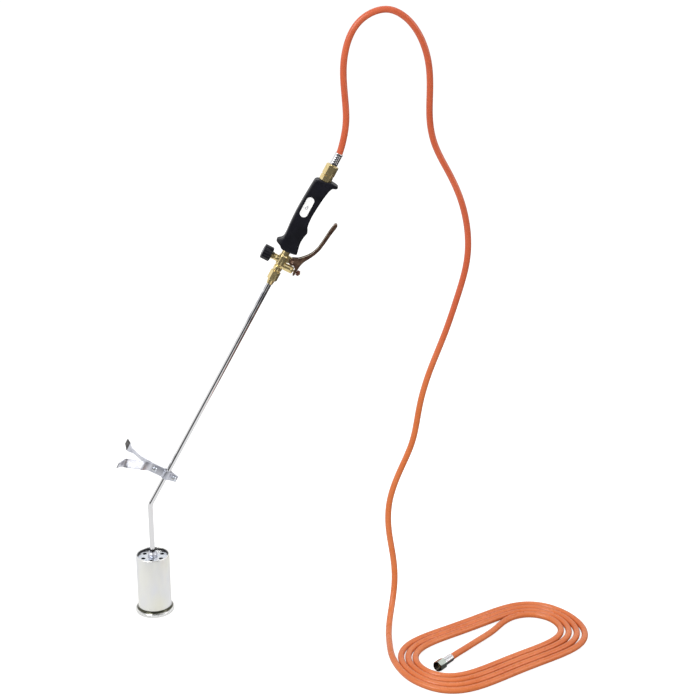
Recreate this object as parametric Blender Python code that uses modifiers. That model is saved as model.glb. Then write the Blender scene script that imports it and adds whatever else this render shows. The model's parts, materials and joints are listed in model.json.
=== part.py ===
"""Propane torch for roofing felt: burner, lance, valve with economiser lever, grip and hose.

Units are metres and +Z is up. The origin is on the floor, midway along the torch. The
burner stands on its mouth with its axis vertical at X = BURNER_X. The lance leans from
there towards +X, in the plane Y = 0, and everything fastened to it is modelled in the lance
frame: local Z runs up the lance from the bend, and local X runs square to it, downwards.
"""

from math import cos, pi, radians, sin, tan

import bmesh
import bpy
import numpy as np
from mathutils import Matrix, Vector

# Driving dimensions
GAP = 0.0003                 # between pieces that touch
BURNER_X = -0.1615           # burner axis
BEND_Z = 0.2304              # height where the neck and the lance would cross
LEAN = radians(28.1)         # lance from the vertical
PIPE_RADIUS = 0.005
PIPE_BORE = 0.0038
BEND_RADIUS = 0.030

BELL_RADIUS = 0.033
BELL_WALL = 0.0014
BELL_TOP = 0.1230
PLATE_TOP = 0.1183
PLATE_THICKNESS = 0.0013
RING_RADIUS = 0.0385
AIR_HOLES = 6
AIR_HOLE_RADIUS = 0.004
AIR_HOLE_CIRCLE = 0.020
NECK_START = 0.1130          # the neck's lower end, inside the boss
RETAINER_Z = 0.0430

STAND_Z = 0.073              # the stand's middle, up the lance
STAND_WIDTH = 0.0175
STAND_SHEET = 0.0018
STAND_BOLTS = (0.0165, -0.0245)
STAND_TWIST = radians(45)       # each leg is turned this far about its own length at its middle

LANCE_NUT_Z = (0.5195, 0.5380)
LANCE_NUT_FLATS = 0.017
PORT_Z = 0.5525              # the plunger's axis
KNOB_Z = 0.561               # the regulating knob's axis
KNOB_RADIUS = 0.0138
PIVOT = (0.0185, 0.568)      # the lever's pin
LEVER_WIDTH = 0.0112
LEVER_GAP = 0.0033           # half the space between the lever's cheeks
PIN_RADIUS = 0.0018

GRIP_HALF = 0.0125           # half the grip's thickness
GRIP_OVAL = (0.0292, 0.0150)    # half axes of the oval that trims its section
GRIP_WALL = 0.0026
INLET_Z = 0.7303                # the inlet's hexagon sits in a pocket of the grip
INLET_FLATS = 0.0200
INLET_NUT_Z = (0.7418, 0.7620)
INLET_NUT_FLATS = 0.0205
FERRULE_LENGTH = 0.024

HOSE_RADIUS = 0.006
HOSE_STEP = 0.031            # between the tube's points
LANDING_STEP = 0.004         # the tube's last step, square to the coil's solid
END_GAP = 0.0010             # from a tube's end to the coil's solid
HOSE_START_Z = 0.768         # the hose begins inside the crimped ferrule
HOSE_END = Vector((0.4175, -0.1990, 0.0092))   # where the hose enters the end ferrule
HOSE_END_HEADING = radians(-130)
END_NUT_FLATS = 0.018
END_NUT_LENGTH = 0.0190

COIL_CENTRE = (0.500, -0.146)
COIL_HEADING = radians(33.7)
COIL_HALF_LENGTH = 0.2010
COIL_HALF_WIDTH = 0.1045
COIL_END_PITCH = 0.0128      # how much each turn is shorter
COIL_SIDE_PITCH = 0.0133     # how much each turn is narrower
COIL_DRIFT = 0.0012
COIL_WAIST = 0.635
COIL_START = radians(-181)
COIL_TURNS = 3.56
COIL_STEPS = 28              # points to a turn

# The hose from the ferrule, over its arch and down to the coil
HOSE_DROP = [
    (0.2160, 0.000, 0.949), (0.2205, 0.000, 0.977), (0.2205, 0.000, 1.005),
    (0.2172, 0.000, 1.045), (0.2168, 0.000, 1.085), (0.2250, 0.000, 1.125),
    (0.2420, 0.000, 1.155), (0.2670, 0.001, 1.173), (0.2950, 0.002, 1.178),
    (0.3210, 0.004, 1.167), (0.3430, 0.008, 1.144), (0.3600, 0.014, 1.110),
    (0.3690, 0.022, 1.070), (0.3710, 0.030, 1.025), (0.3720, 0.038, 0.980),
    (0.3830, 0.044, 0.930), (0.4110, 0.050, 0.875), (0.4350, 0.056, 0.820),
    (0.4480, 0.060, 0.760), (0.4470, 0.061, 0.700), (0.4300, 0.060, 0.630),
    (0.4080, 0.057, 0.560), (0.3820, 0.052, 0.490), (0.3630, 0.046, 0.420),
    (0.3500, 0.038, 0.350), (0.3260, 0.029, 0.290), (0.3060, 0.019, 0.230),
    (0.3040, 0.008, 0.175), (0.3120, -0.004, 0.125), (0.3160, -0.018, 0.080),
    (0.3120, -0.037, 0.042), (0.3060, -0.066, 0.017), (0.3030, -0.105, 0.0065),
    (0.3038, -0.150, 0.006), (0.3094, -0.200, 0.006),
]
# The hose from the coil's last turn to its end fitting
HOSE_TAIL = [
    (0.5820, -0.0320, 0.0060), (0.5400, -0.0500, 0.0062), (0.5080, -0.0925, 0.0064),
    (0.4760, -0.1305, 0.0070), (0.4445, -0.1675, 0.0084), (0.4304, -0.1837, 0.0090),
]

# Colour, metallic and roughness
FINISHES = {
    "burner_steel": ((0.72, 0.72, 0.69), 1.0, 0.42),
    "polished_steel": ((0.78, 0.78, 0.78), 1.0, 0.15),
    "chrome": ((0.80, 0.80, 0.82), 1.0, 0.10),
    "zinc": ((0.74, 0.77, 0.80), 1.0, 0.32),
    "brass": ((0.72, 0.58, 0.30), 1.0, 0.25),
    "bronze": ((0.13, 0.08, 0.055), 0.7, 0.40),
    "copper": ((0.75, 0.42, 0.28), 1.0, 0.30),
    "spring_steel": ((0.55, 0.55, 0.56), 1.0, 0.30),
    "black_plastic": ((0.015, 0.015, 0.020), 0.0, 0.45),
    "white_plastic": ((0.85, 0.85, 0.84), 0.0, 0.35),
    "black_rubber": ((0.02, 0.02, 0.02), 0.0, 0.80),
    "orange_rubber": ((0.72, 0.16, 0.05), 0.0, 0.50),
}

UP = Matrix.Identity(4)
TO_KNOB = Matrix.Rotation(-pi / 2, 4, "Y")     # local Z points to the knob's side
TO_LEVER = Matrix.Rotation(pi / 2, 4, "Y")     # local Z points to the lever's side
FACING_BACK = Matrix.Rotation(-pi / 2, 4, "X")  # local Z points to +Y


def clear_scene():
    for old in list(bpy.data.objects):
        bpy.data.objects.remove(old, do_unlink=True)


def new_collection(name):
    collection = bpy.data.collections.new(name)
    bpy.context.scene.collection.children.link(collection)
    return collection


def new_empty(name, place, parent=None):
    empty = bpy.data.objects.new(name, None)
    TORCH.objects.link(empty)
    empty.parent = parent
    empty.matrix_local = place
    return empty


def finish_material(slot):
    found = bpy.data.materials.get(slot)
    if found:
        return found
    colour, metallic, roughness = FINISHES[slot]
    made = bpy.data.materials.new(slot)
    made.use_nodes = True
    shader = made.node_tree.nodes["Principled BSDF"]
    shader.inputs["Base Color"].default_value = (*colour, 1.0)
    shader.inputs["Metallic"].default_value = metallic
    shader.inputs["Roughness"].default_value = roughness
    return made


def add_object(name, data, slot=None, parent=None, place=UP, cutter=False):
    """An object under its parent at a local place, in the torch or with the cutters."""
    obj = bpy.data.objects.new(name, data)
    (CUTTERS if cutter else TORCH).objects.link(obj)
    obj.parent = parent
    obj.matrix_local = place
    if cutter:
        obj.hide_render = True
        obj.display_type = "WIRE"
    else:
        data.materials.append(finish_material(slot))
    return obj


def mesh_from(bm, name):
    mesh = bpy.data.meshes.new(name)
    bm.to_mesh(mesh)
    bm.free()
    return mesh


def turned(name, profile, slot=None, parent=None, place=UP, steps=20, cutter=False):
    """A profile of (radius, height) points, down the outer side, turned round local Z."""
    bm = bmesh.new()
    points = [bm.verts.new((r, 0.0, z)) for r, z in profile]
    for first, second in zip(points, points[1:]):
        bm.edges.new((first, second))
    if profile[0][0] > 0 and profile[-1][0] > 0:
        bm.edges.new((points[-1], points[0]))
    obj = add_object(name, mesh_from(bm, name), slot, parent, place, cutter)
    screw = obj.modifiers.new("Turn", "SCREW")
    screw.steps = steps
    screw.render_steps = steps
    screw.use_merge_vertices = True
    screw.merge_threshold = 0.00001
    screw.use_smooth_shade = True
    return obj


def rod(name, radius, low, high, slot=None, parent=None, place=UP, sides=24, cutter=False):
    """A solid cylinder along local Z; six sides make a hexagon with its corners at +Y and -Y."""
    bm = bmesh.new()
    middle = Matrix.Translation((0, 0, (low + high) / 2))
    bmesh.ops.create_cone(
        bm, cap_ends=True, segments=sides, radius1=radius, radius2=radius,
        depth=high - low, matrix=middle,
    )
    return add_object(name, mesh_from(bm, name), slot, parent, place, cutter)


def block(name, low, high, slot=None, parent=None, place=UP, cutter=False):
    """A box from its low corner to its high corner."""
    low, high = Vector(low), Vector(high)
    bm = bmesh.new()
    size = Matrix.Diagonal((*(high - low), 1.0))
    bmesh.ops.create_cube(bm, size=1.0, matrix=Matrix.Translation((low + high) / 2) @ size)
    return add_object(name, mesh_from(bm, name), slot, parent, place, cutter)


def plate(name, outlines, low_y, high_y, slot=None, parent=None, place=UP, cutter=False):
    """Flat outlines of (x, z) points, filled and made thick from low_y to high_y."""
    curve = bpy.data.curves.new(name, "CURVE")
    curve.dimensions = "2D"
    curve.fill_mode = "BOTH"
    curve.extrude = (high_y - low_y) / 2
    for outline in outlines:
        spline = curve.splines.new("POLY")
        spline.points.add(len(outline) - 1)
        for point, (x, z) in zip(spline.points, outline):
            point.co = (x, z, 0.0, 1.0)
        spline.use_cyclic_u = True
    stand_up = Matrix.Translation((0, (low_y + high_y) / 2, 0)) @ Matrix.Rotation(pi / 2, 4, "X")
    return solid_from_curve(name, curve, stand_up, slot, parent, place, cutter)


def solid_from_curve(name, curve, shape_place, slot, parent, place, cutter=False):
    """The curve as a welded mesh, so that it can be cut and bevelled."""
    guide = bpy.data.objects.new(name + "_curve", curve)
    TORCH.objects.link(guide)
    bpy.context.view_layer.update()
    seen = guide.evaluated_get(bpy.context.evaluated_depsgraph_get())
    mesh = bpy.data.meshes.new_from_object(seen)
    mesh.name = name
    bpy.data.objects.remove(guide, do_unlink=True)
    bpy.data.curves.remove(curve)
    bm = bmesh.new()
    bm.from_mesh(mesh)
    bmesh.ops.remove_doubles(bm, verts=bm.verts, dist=0.00001)
    bmesh.ops.transform(bm, matrix=shape_place, verts=bm.verts)
    bmesh.ops.recalc_face_normals(bm, faces=bm.faces)
    bm.to_mesh(mesh)
    bm.free()
    mesh.materials.clear()
    return add_object(name, mesh, slot, parent, place, cutter)


def tube_curve(name, points, radius, resolution):
    curve = bpy.data.curves.new(name, "CURVE")
    curve.dimensions = "3D"
    curve.bevel_depth = radius
    curve.bevel_resolution = resolution
    curve.render_resolution_u = 0
    curve.use_fill_caps = True
    spline = curve.splines.new("POLY")
    spline.points.add(len(points) - 1)
    for point, position in zip(spline.points, points):
        point.co = (*position, 1.0)
    return curve


def tube(name, points, radius, slot, parent=None, resolution=2):
    """A round tube through the points, with closed ends."""
    curve = tube_curve(name, points, radius, resolution)
    return add_object(name, curve, slot, parent)


def boolean(obj, other, operation="DIFFERENCE"):
    change = obj.modifiers.new(operation.title(), "BOOLEAN")
    change.operation = operation
    change.solver = "EXACT"
    change.object = other


def bevel(obj, width, segments=1, angle=radians(40)):
    rounding = obj.modifiers.new("Bevel", "BEVEL")
    rounding.width = width
    rounding.segments = segments
    rounding.limit_method = "ANGLE"
    rounding.angle_limit = angle


def hexagon(name, flats, low, high, slot, parent=None, place=UP, bore=None, chamfer=0.0008):
    """A hexagonal piece along local Z, with its corners turned off and a plain bore."""
    body = rod(name, flats / 2 / cos(pi / 6), low, high, slot, parent, place, sides=6)
    reach = flats / 2 / cos(pi / 6) + 0.001
    edge = flats / 2 * 1.02
    slope = (reach - edge) * tan(pi / 6)
    envelope = turned(
        name + "_turning",
        [(0, high + GAP), (edge, high + GAP), (reach, high - slope),
         (reach, low + slope), (edge, low - GAP), (0, low - GAP)],
        parent=parent, place=place, steps=20, cutter=True,
    )
    boolean(body, envelope, "INTERSECT")
    if bore:
        hole = rod(name + "_bore", bore, low - 0.01, high + 0.01, None, parent, place, 24, True)
        boolean(body, hole)
    return body


def smooth_curve(knots, steps):
    """Points on the natural cubic spline through the knots, steps to a span."""
    knots = np.array(knots, dtype=float)
    count = len(knots)
    span = np.sqrt(np.linalg.norm(np.diff(knots, axis=0), axis=1))
    system = np.eye(count)
    right = np.zeros((count, 3))
    for i in range(1, count - 1):
        system[i, i - 1:i + 2] = span[i - 1], 2 * (span[i - 1] + span[i]), span[i]
        right[i] = 6 * ((knots[i + 1] - knots[i]) / span[i] - (knots[i] - knots[i - 1]) / span[i - 1])
    bend = np.linalg.solve(system, right)
    found = []
    for i in range(count - 1):
        for t in np.arange(steps) / steps:
            a, b, h = 1 - t, t, span[i]
            curved = (a ** 3 - a) * bend[i] + (b ** 3 - b) * bend[i + 1]
            found.append(a * knots[i] + b * knots[i + 1] + h * h / 6 * curved)
    found.append(knots[-1])
    return np.array(found)


def tube_points(line, first, last):
    """Points along a line, evenly spaced between its straight first and last steps."""
    run = np.concatenate([[0], np.cumsum(np.linalg.norm(np.diff(line, axis=0), axis=1))])
    middle = run[-1] - first - last
    even = np.linspace(first, first + middle, round(middle / HOSE_STEP) + 1)
    stops = np.concatenate([[END_GAP], even, [run[-1] - END_GAP]])
    return np.stack([np.interp(stops, run, line[:, k]) for k in range(3)], axis=1)


def lance_point(across, y, along):
    """World position of a point in the lance frame."""
    return LANCE_PLACE @ Vector((across, y, along))


def arc(centre, radius, start, end, steps):
    """Points of an arc in a flat outline, angles in radians."""
    angles = [start + (end - start) * i / steps for i in range(steps + 1)]
    return [(centre[0] + radius * cos(a), centre[1] + radius * sin(a)) for a in angles]


def coil_point(turn, outward=0.0):
    """A point of the coil's centre line, or beside it, counted in turns from its start."""
    def on_line(t):
        angle = COIL_START + 2 * pi * t
        along = (COIL_HALF_LENGTH - COIL_END_PITCH * t) * cos(angle)
        width = (COIL_HALF_WIDTH - COIL_SIDE_PITCH * t) * (1 + COIL_WAIST * cos(angle) ** 2)
        across = width * sin(angle) + COIL_DRIFT * t
        return np.array([
            COIL_CENTRE[0] + along * cos(COIL_HEADING) - across * sin(COIL_HEADING),
            COIL_CENTRE[1] + along * sin(COIL_HEADING) + across * cos(COIL_HEADING),
        ])

    step = 0.0005
    run = on_line(turn + step) - on_line(turn - step)
    normal = np.array([run[1], -run[0]]) / np.linalg.norm(run)
    return on_line(turn) + outward * normal


# Burner

def build_burner():
    inner = BELL_RADIUS - BELL_WALL
    lip = inner - 0.0012
    turned(
        "burner_bell",
        [(lip + 0.0006, BELL_TOP), (BELL_RADIUS - 0.0010, BELL_TOP), (BELL_RADIUS, BELL_TOP - 0.0012),
         (BELL_RADIUS, 0.0004), (inner, 0.0004), (inner, PLATE_TOP + GAP),
         (lip, PLATE_TOP + 0.0010), (lip, BELL_TOP - 0.0008)],
        "burner_steel", BURNER, steps=32,
    )
    start = BELL_RADIUS + GAP
    flare = [(RING_RADIUS - 0.0010 - (RING_RADIUS - 0.0010 - start) * sin(a), 0.0130 - 0.0050 * cos(a))
             for a in (0, pi / 6, pi / 3, pi / 2)]
    turned(
        "mouth_ring",
        [(start, flare[-1][1])] + flare[-2::-1]
        + [(RING_RADIUS, 0.0070), (RING_RADIUS, 0.0020), (RING_RADIUS - 0.0012, 0.0), (start, 0.0)],
        "polished_steel", BURNER, steps=32,
    )
    back = turned(
        "bell_back_plate",
        [(0.0083, PLATE_TOP), (inner - GAP, PLATE_TOP), (inner - GAP, PLATE_TOP - PLATE_THICKNESS),
         (0.0083, PLATE_TOP - PLATE_THICKNESS)],
        "burner_steel", BURNER, steps=32,
    )
    for hole in range(AIR_HOLES):
        angle = pi / 2 + hole * 2 * pi / AIR_HOLES
        spot = Matrix.Translation((AIR_HOLE_CIRCLE * cos(angle), AIR_HOLE_CIRCLE * sin(angle), 0))
        drill = rod(f"air_hole_{hole}", AIR_HOLE_RADIUS, PLATE_TOP - 0.005, PLATE_TOP + 0.005,
                    None, BURNER, spot, 16, True)
        boolean(back, drill)
    turned(
        "burner_boss",
        [(0.0053, 0.1275), (0.0066, 0.1275), (0.0080, 0.1262), (0.0092, 0.1238), (0.0092, PLATE_TOP + GAP),
         (0.0080, PLATE_TOP + GAP), (0.0080, 0.1040), (0.0033, 0.1040), (0.0033, NECK_START - GAP),
         (0.0053, NECK_START - GAP)],
        "zinc", BURNER,
    )
    hexagon("boss_nut", 0.022, 0.1100, PLATE_TOP - PLATE_THICKNESS - GAP, "zinc", BURNER, bore=0.0083)
    turned(
        "gas_jet",
        [(0.0006, 0.1100), (0.0030, 0.1100), (0.0030, 0.1037), (0.0050, 0.1037), (0.0050, 0.0990),
         (0.0030, 0.0960), (0.0006, 0.0960)],
        "brass", BURNER, steps=16,
    )
    turned(
        "mixer_tube",
        [(0.0105, 0.0920), (0.0145, 0.0940), (0.0125, 0.0860), (0.0115, 0.0780), (0.0115, RETAINER_Z - 0.004),
         (0.0105, RETAINER_Z - 0.004), (0.0105, 0.0780)],
        "burner_steel", BURNER, steps=20,
    )
    retainer = turned(
        "flame_retainer",
        [(0.0118, RETAINER_Z + 0.0010), (inner - GAP, RETAINER_Z + 0.0010), (inner - GAP, RETAINER_Z),
         (0.0118, RETAINER_Z)],
        "burner_steel", BURNER, steps=32,
    )
    for hole in range(8):
        angle = pi / 16 + hole * pi / 4
        spot = Matrix.Translation((0.0215 * cos(angle), 0.0215 * sin(angle), 0))
        drill = rod(f"flame_hole_{hole}", 0.0045, RETAINER_Z - 0.005, RETAINER_Z + 0.006,
                    None, BURNER, spot, 12, True)
        boolean(retainer, drill)


# Lance

def pipe_path(start, end):
    """The neck and the lance in the lance frame, from a height above the floor."""
    tangent = BEND_RADIUS * tan(LEAN / 2)
    down = Vector((sin(LEAN), 0, -cos(LEAN)))
    centre = Vector((BEND_RADIUS, 0, tangent))
    path = [down * (BEND_Z - start)]
    path += [centre + BEND_RADIUS * Vector((-cos(a), 0, -sin(a)))
             for a in np.linspace(LEAN, 0, 7)]
    path.append(Vector((0, 0, end)))
    return path


def build_lance():
    end = 0.5365
    outer = tube_curve("lance_pipe", pipe_path(NECK_START, end), PIPE_RADIUS, 3)
    pipe = solid_from_curve("lance_pipe", outer, UP, "chrome", LANCE, UP)
    inner = tube_curve("lance_bore", pipe_path(NECK_START - 0.004, end + 0.004), PIPE_BORE, 2)
    boolean(pipe, solid_from_curve("lance_bore", inner, UP, None, LANCE, UP, True))
    turned(
        "lance_collar",
        [(0.0053, LANCE_NUT_Z[0] - GAP), (0.0072, LANCE_NUT_Z[0] - GAP), (0.0060, 0.5105), (0.0053, 0.5105)],
        "brass", LANCE,
    )
    low, high = LANCE_NUT_Z
    nut = hexagon("lance_union_nut", LANCE_NUT_FLATS, low, high, "brass", LANCE, bore=0.0054)
    boolean(nut, rod("lance_nut_thread", 0.0074, low + 0.003, high + 0.01, None, LANCE, UP, 24, True))
    turned(
        "lance_olive",
        [(0.0053, 0.5257), (0.0064, 0.5257), (0.0070, 0.5242), (0.0064, 0.5227), (0.0053, 0.5227)],
        "brass", LANCE, steps=20,
    )


# Stand

def strap_path(side):
    """One leg's centre line as (across, y): tab, pipe saddle, tab, leg and foot."""
    tab = STAND_SHEET / 2 + 0.0004
    saddle = PIPE_RADIUS + GAP + STAND_SHEET / 2
    line = [(0.0225, tab), (0.0078, tab), (0.0062, saddle * 0.62), (0.0030, saddle),
            (-0.0030, saddle), (-0.0062, saddle * 0.62), (-0.0078, tab), (-0.0335, tab)]
    start, end = (-0.0370, tab + 0.0013), (-0.0845, 0.0358)
    for share in (0, 0.12, 0.24, 0.36, 0.85, 1):
        line.append(tuple(a + share * (b - a) for a, b in zip(start, end)))
    line += [(-0.0870, 0.0388), (-0.0943, 0.0585)]
    return [(x, side * y) for x, y in line]


def strap_twist(x):
    """How far the strap is turned there: upright at the clamp, leaning mid-leg, upright at the foot."""
    leaving, arriving = (-0.0370 - x) / 0.0171, (x + 0.0870) / 0.0096
    return STAND_TWIST * max(0, min(1, leaving, arriving))


def strap_edges(side):
    """The strap's lower and upper long edges, leaning together beyond the clamp."""
    path = strap_path(side)
    lower, upper = [], []
    for i, (x, y) in enumerate(path):
        (x0, y0), (x1, y1) = path[max(i - 1, 0)], path[min(i + 1, len(path) - 1)]
        run = Vector((x1 - x0, y1 - y0)).normalized()
        twist = strap_twist(x)
        reach = STAND_WIDTH / 2 * sin(twist) * side
        lean = (-run.y * reach, run.x * reach)
        rise = STAND_WIDTH / 2 * cos(twist)
        lower.append((x - lean[0], y - lean[1], STAND_Z - rise))
        upper.append((x + lean[0], y + lean[1], STAND_Z + rise))
    return lower, upper


def build_stand():
    for name, side in (("stand_front_leg", -1), ("stand_rear_leg", 1)):
        bm = bmesh.new()
        rows = [[bm.verts.new(point) for point in edge] for edge in strap_edges(side)]
        for a, b, c, d in zip(rows[0], rows[0][1:], rows[1][1:], rows[1]):
            bm.faces.new((a, b, c, d))
        leg = add_object(name, mesh_from(bm, name), "zinc", STAND)
        sheet = leg.modifiers.new("Sheet", "SOLIDIFY")
        sheet.thickness = STAND_SHEET
        sheet.offset = 0
        sheet.use_even_offset = True
        for number, x in enumerate(STAND_BOLTS):
            spot = Matrix.Translation((x, 0, STAND_Z)) @ FACING_BACK
            drill = rod(f"{name}_hole_{number}", 0.0029, -0.01, 0.01, None, STAND, spot, 16, True)
            boolean(leg, drill)
    outside = STAND_SHEET + 0.0004 + GAP
    for number, x in enumerate(STAND_BOLTS):
        spot = Matrix.Translation((x, 0, STAND_Z)) @ FACING_BACK
        turned(
            f"stand_bolt_{number + 1}",
            [(0, 0.0098), (0.0025, 0.0098), (0.0025, -outside), (0.0050, -outside),
             (0.0046, -outside - 0.0024), (0.0028, -outside - 0.0033), (0, -outside - 0.0035)],
            "zinc", STAND, spot, steps=20,
        )
        hexagon(f"stand_nut_{number + 1}", 0.008, outside, outside + 0.0040, "zinc", STAND, spot, 0.0028)


# Valve

def build_valve_body():
    body = turned(
        "valve_body",
        [(0, 0.5900), (0.0073, 0.5900), (0.0073, 0.5720), (0.0088, 0.5700), (0.0088, 0.5520),
         (0.0066, 0.5495), (0.0083, 0.5482), (0.0083, 0.5412), (0.0071, 0.5400), (0.0071, 0.5260),
         (0, 0.5260)],
        "brass", LANCE,
    )
    knob_arm = turned(
        "knob_arm",
        [(0, 0.0170), (0.0058, 0.0170), (0.0063, 0.0150), (0.0063, 0), (0, 0)],
        None, LANCE, Matrix.Translation((0, 0, KNOB_Z)) @ TO_KNOB, 24, True,
    )
    port = rod("plunger_port", 0.0070, 0, 0.0253, None, LANCE,
               Matrix.Translation((0, 0, PORT_Z)) @ TO_LEVER, 24, True)
    x, z = PIVOT
    lug_outline = [(0.004, z - 0.0085)] + arc(PIVOT, 0.0050, -pi / 2, pi / 2, 8) + [(0.004, z + 0.0070)]
    lug = plate("lever_lug", [lug_outline], -0.0029, 0.0029, None, LANCE, UP, True)
    for part in (knob_arm, port, lug):
        boolean(body, part, "UNION")
    cutters = [
        rod("gas_way", 0.0030, 0.52, 0.60, None, LANCE, UP, 16, True),
        rod("lance_socket", 0.0053, 0.52, 0.5370, None, LANCE, UP, 24, True),
        rod("handle_socket", 0.0053, 0.5800, 0.60, None, LANCE, UP, 24, True),
        rod("plunger_bore", 0.0045, 0.0010, 0.03, None, LANCE,
            Matrix.Translation((0, 0, PORT_Z)) @ TO_LEVER, 24, True),
        rod("needle_bore", 0.0032, 0, 0.02, None, LANCE,
            Matrix.Translation((0, 0, KNOB_Z)) @ TO_KNOB, 20, True),
        rod("packing_bore", 0.0048, 0.0110, 0.02, None, LANCE,
            Matrix.Translation((0, 0, KNOB_Z)) @ TO_KNOB, 20, True),
        rod("pin_hole", PIN_RADIUS + GAP, -0.01, 0.01, None, LANCE,
            Matrix.Translation((x, 0, z)) @ FACING_BACK, 16, True),
    ]
    for cutter in cutters:
        boolean(body, cutter)


def build_knob():
    hexagon("knob_gland_nut", 0.012, 0.0173, 0.0245, "brass", KNOB, bore=0.0032)
    turned(
        "spindle_packing",
        [(0.0032, 0.0165), (0.0045, 0.0165), (0.0045, 0.0120), (0.0032, 0.0120)],
        "black_rubber", KNOB, steps=20,
    )
    turned(
        "needle_spindle",
        [(0, 0.0345), (0.0024, 0.0345), (0.0024, 0.0249), (0.0029, 0.0249), (0.0029, 0.0045), (0, 0.0015)],
        "brass", KNOB, steps=20,
    )
    lobes, points = 10, 60
    outline = []
    for i in range(points):
        angle = 2 * pi * i / points
        radius = KNOB_RADIUS - 0.0013 * max(0.0, cos(lobes * angle)) ** 2
        outline.append((radius * cos(angle), radius * sin(angle)))
    knob = plate("control_knob", [outline], 0.0215, 0.0397, "black_plastic", KNOB,
                 Matrix.Rotation(pi / 2, 4, "X"))
    bevel(knob, 0.0012, 1, radians(60))
    boolean(knob, rod("knob_bore", 0.0027, 0, 0.05, None, KNOB, UP, 20, True))
    boolean(knob, rod("knob_gland_recess", 0.0085, 0, 0.0252, None, KNOB, UP, 20, True))
    boolean(knob, rod("knob_screw_seat", 0.0050, 0.0372, 0.05, None, KNOB, UP, 20, True))
    screw = turned(
        "knob_screw",
        [(0, 0.0393), (0.0040, 0.0393), (0.0046, 0.0385), (0.0046, 0.0375), (0.0020, 0.0375),
         (0.0020, 0.0348), (0, 0.0348)],
        "zinc", KNOB, steps=20,
    )
    slot_low, slot_high = (-0.0004, -0.006, 0.0385), (0.0004, 0.006, 0.041)
    boolean(screw, block("knob_screw_slot", slot_low, slot_high, None, KNOB, UP, True))


def build_plunger():
    turned(
        "plunger",
        [(0, 0.0420), (0.0019, 0.0420), (0.0019, 0.0066), (0.0040, 0.0066), (0.0040, 0.0046),
         (0.0012, 0.0046), (0.0012, 0.0022), (0, 0.0022)],
        "brass", PLUNGER, steps=20,
    )
    turned(
        "seat_washer",
        [(0.0015, 0.0043), (0.0040, 0.0043), (0.0040, 0.0028), (0.0015, 0.0028)],
        "black_rubber", PLUNGER, steps=20,
    )
    turned(
        "plunger_gland",
        [(0.0022, 0.0268), (0.0060, 0.0268), (0.0066, 0.0262), (0.0066, 0.0256), (0.0042, 0.0256),
         (0.0042, 0.0200), (0.0022, 0.0200)],
        "brass", PLUNGER, steps=20,
    )
    hexagon("pilot_nut", 0.0092, 0.0346, 0.0404, "copper", PLUNGER, bore=0.0022)
    turns, per_turn, low, high = 4.5, 10, 0.0075, 0.0192
    helix = []
    for i in range(int(turns * per_turn) + 1):
        angle = 2 * pi * i / per_turn
        height = low + (high - low) * i / (turns * per_turn)
        helix.append((0.0032 * cos(angle), 0.0032 * sin(angle), height))
    tube("return_spring", helix, 0.0005, "spring_steel", PLUNGER, 2)


def lever_outline():
    """The lever's side view round its pin, as (across, along) from the pin."""
    grip_side = [(0.0062, 0.0106), (0.0120, 0.0160), (0.0185, 0.0232), (0.0245, 0.0325),
                 (0.0288, 0.0450), (0.0306, 0.0620), (0.0322, 0.0820), (0.0346, 0.0975)]
    tip = [(0.0356, 0.1000), (0.0378, 0.1012), (0.0402, 0.1004), (0.0414, 0.0980)]
    finger_side = [(0.0410, 0.0930), (0.0386, 0.0790), (0.0368, 0.0610), (0.0344, 0.0440),
                   (0.0296, 0.0297), (0.0235, 0.0182), (0.0183, 0.0090), (0.0160, 0.0010),
                   (0.0150, -0.0100)]
    tail = [(0.0146, -0.0215), (0.0128, -0.0232), (0.0110, -0.0222), (0.0103, -0.0100)]
    hub = arc((0, 0), 0.0070, -radians(50), -radians(250), 8)
    return hub + grip_side + tip + finger_side + tail


def build_lever():
    half = LEVER_WIDTH / 2
    lever = plate("lever", [lever_outline()], -half, half, "bronze", LEVER)
    channel = [(-0.010, 0.020), (0.0180, 0.0420), (0.0240, 0.0940), (0.0380, 0.0940),
               (0.0364, 0.0790), (0.0346, 0.0620), (0.0322, 0.0450), (0.0276, 0.0315),
               (0.0215, 0.0207), (0.0160, 0.0110), (0.0138, 0.0020), (0.0135, -0.0060), (0.0200, -0.0065),
               (0.0200, -0.0300), (-0.010, -0.0300)]
    boolean(lever, plate("lever_channel", [channel], -LEVER_GAP, LEVER_GAP, None, LEVER, UP, True))
    boolean(lever, rod("lever_pin_hole", PIN_RADIUS + GAP, -0.01, 0.01, None, LEVER, FACING_BACK, 16, True))
    turned(
        "lever_pin",
        [(0, half + 0.0016), (0.0022, half + 0.0014), (0.0028, half + GAP), (PIN_RADIUS, half + GAP),
         (PIN_RADIUS, -half - GAP), (0.0028, -half - GAP), (0.0022, -half - 0.0014), (0, -half - 0.0016)],
        "copper", LEVER, FACING_BACK, steps=20,
    )


# Grip

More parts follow.
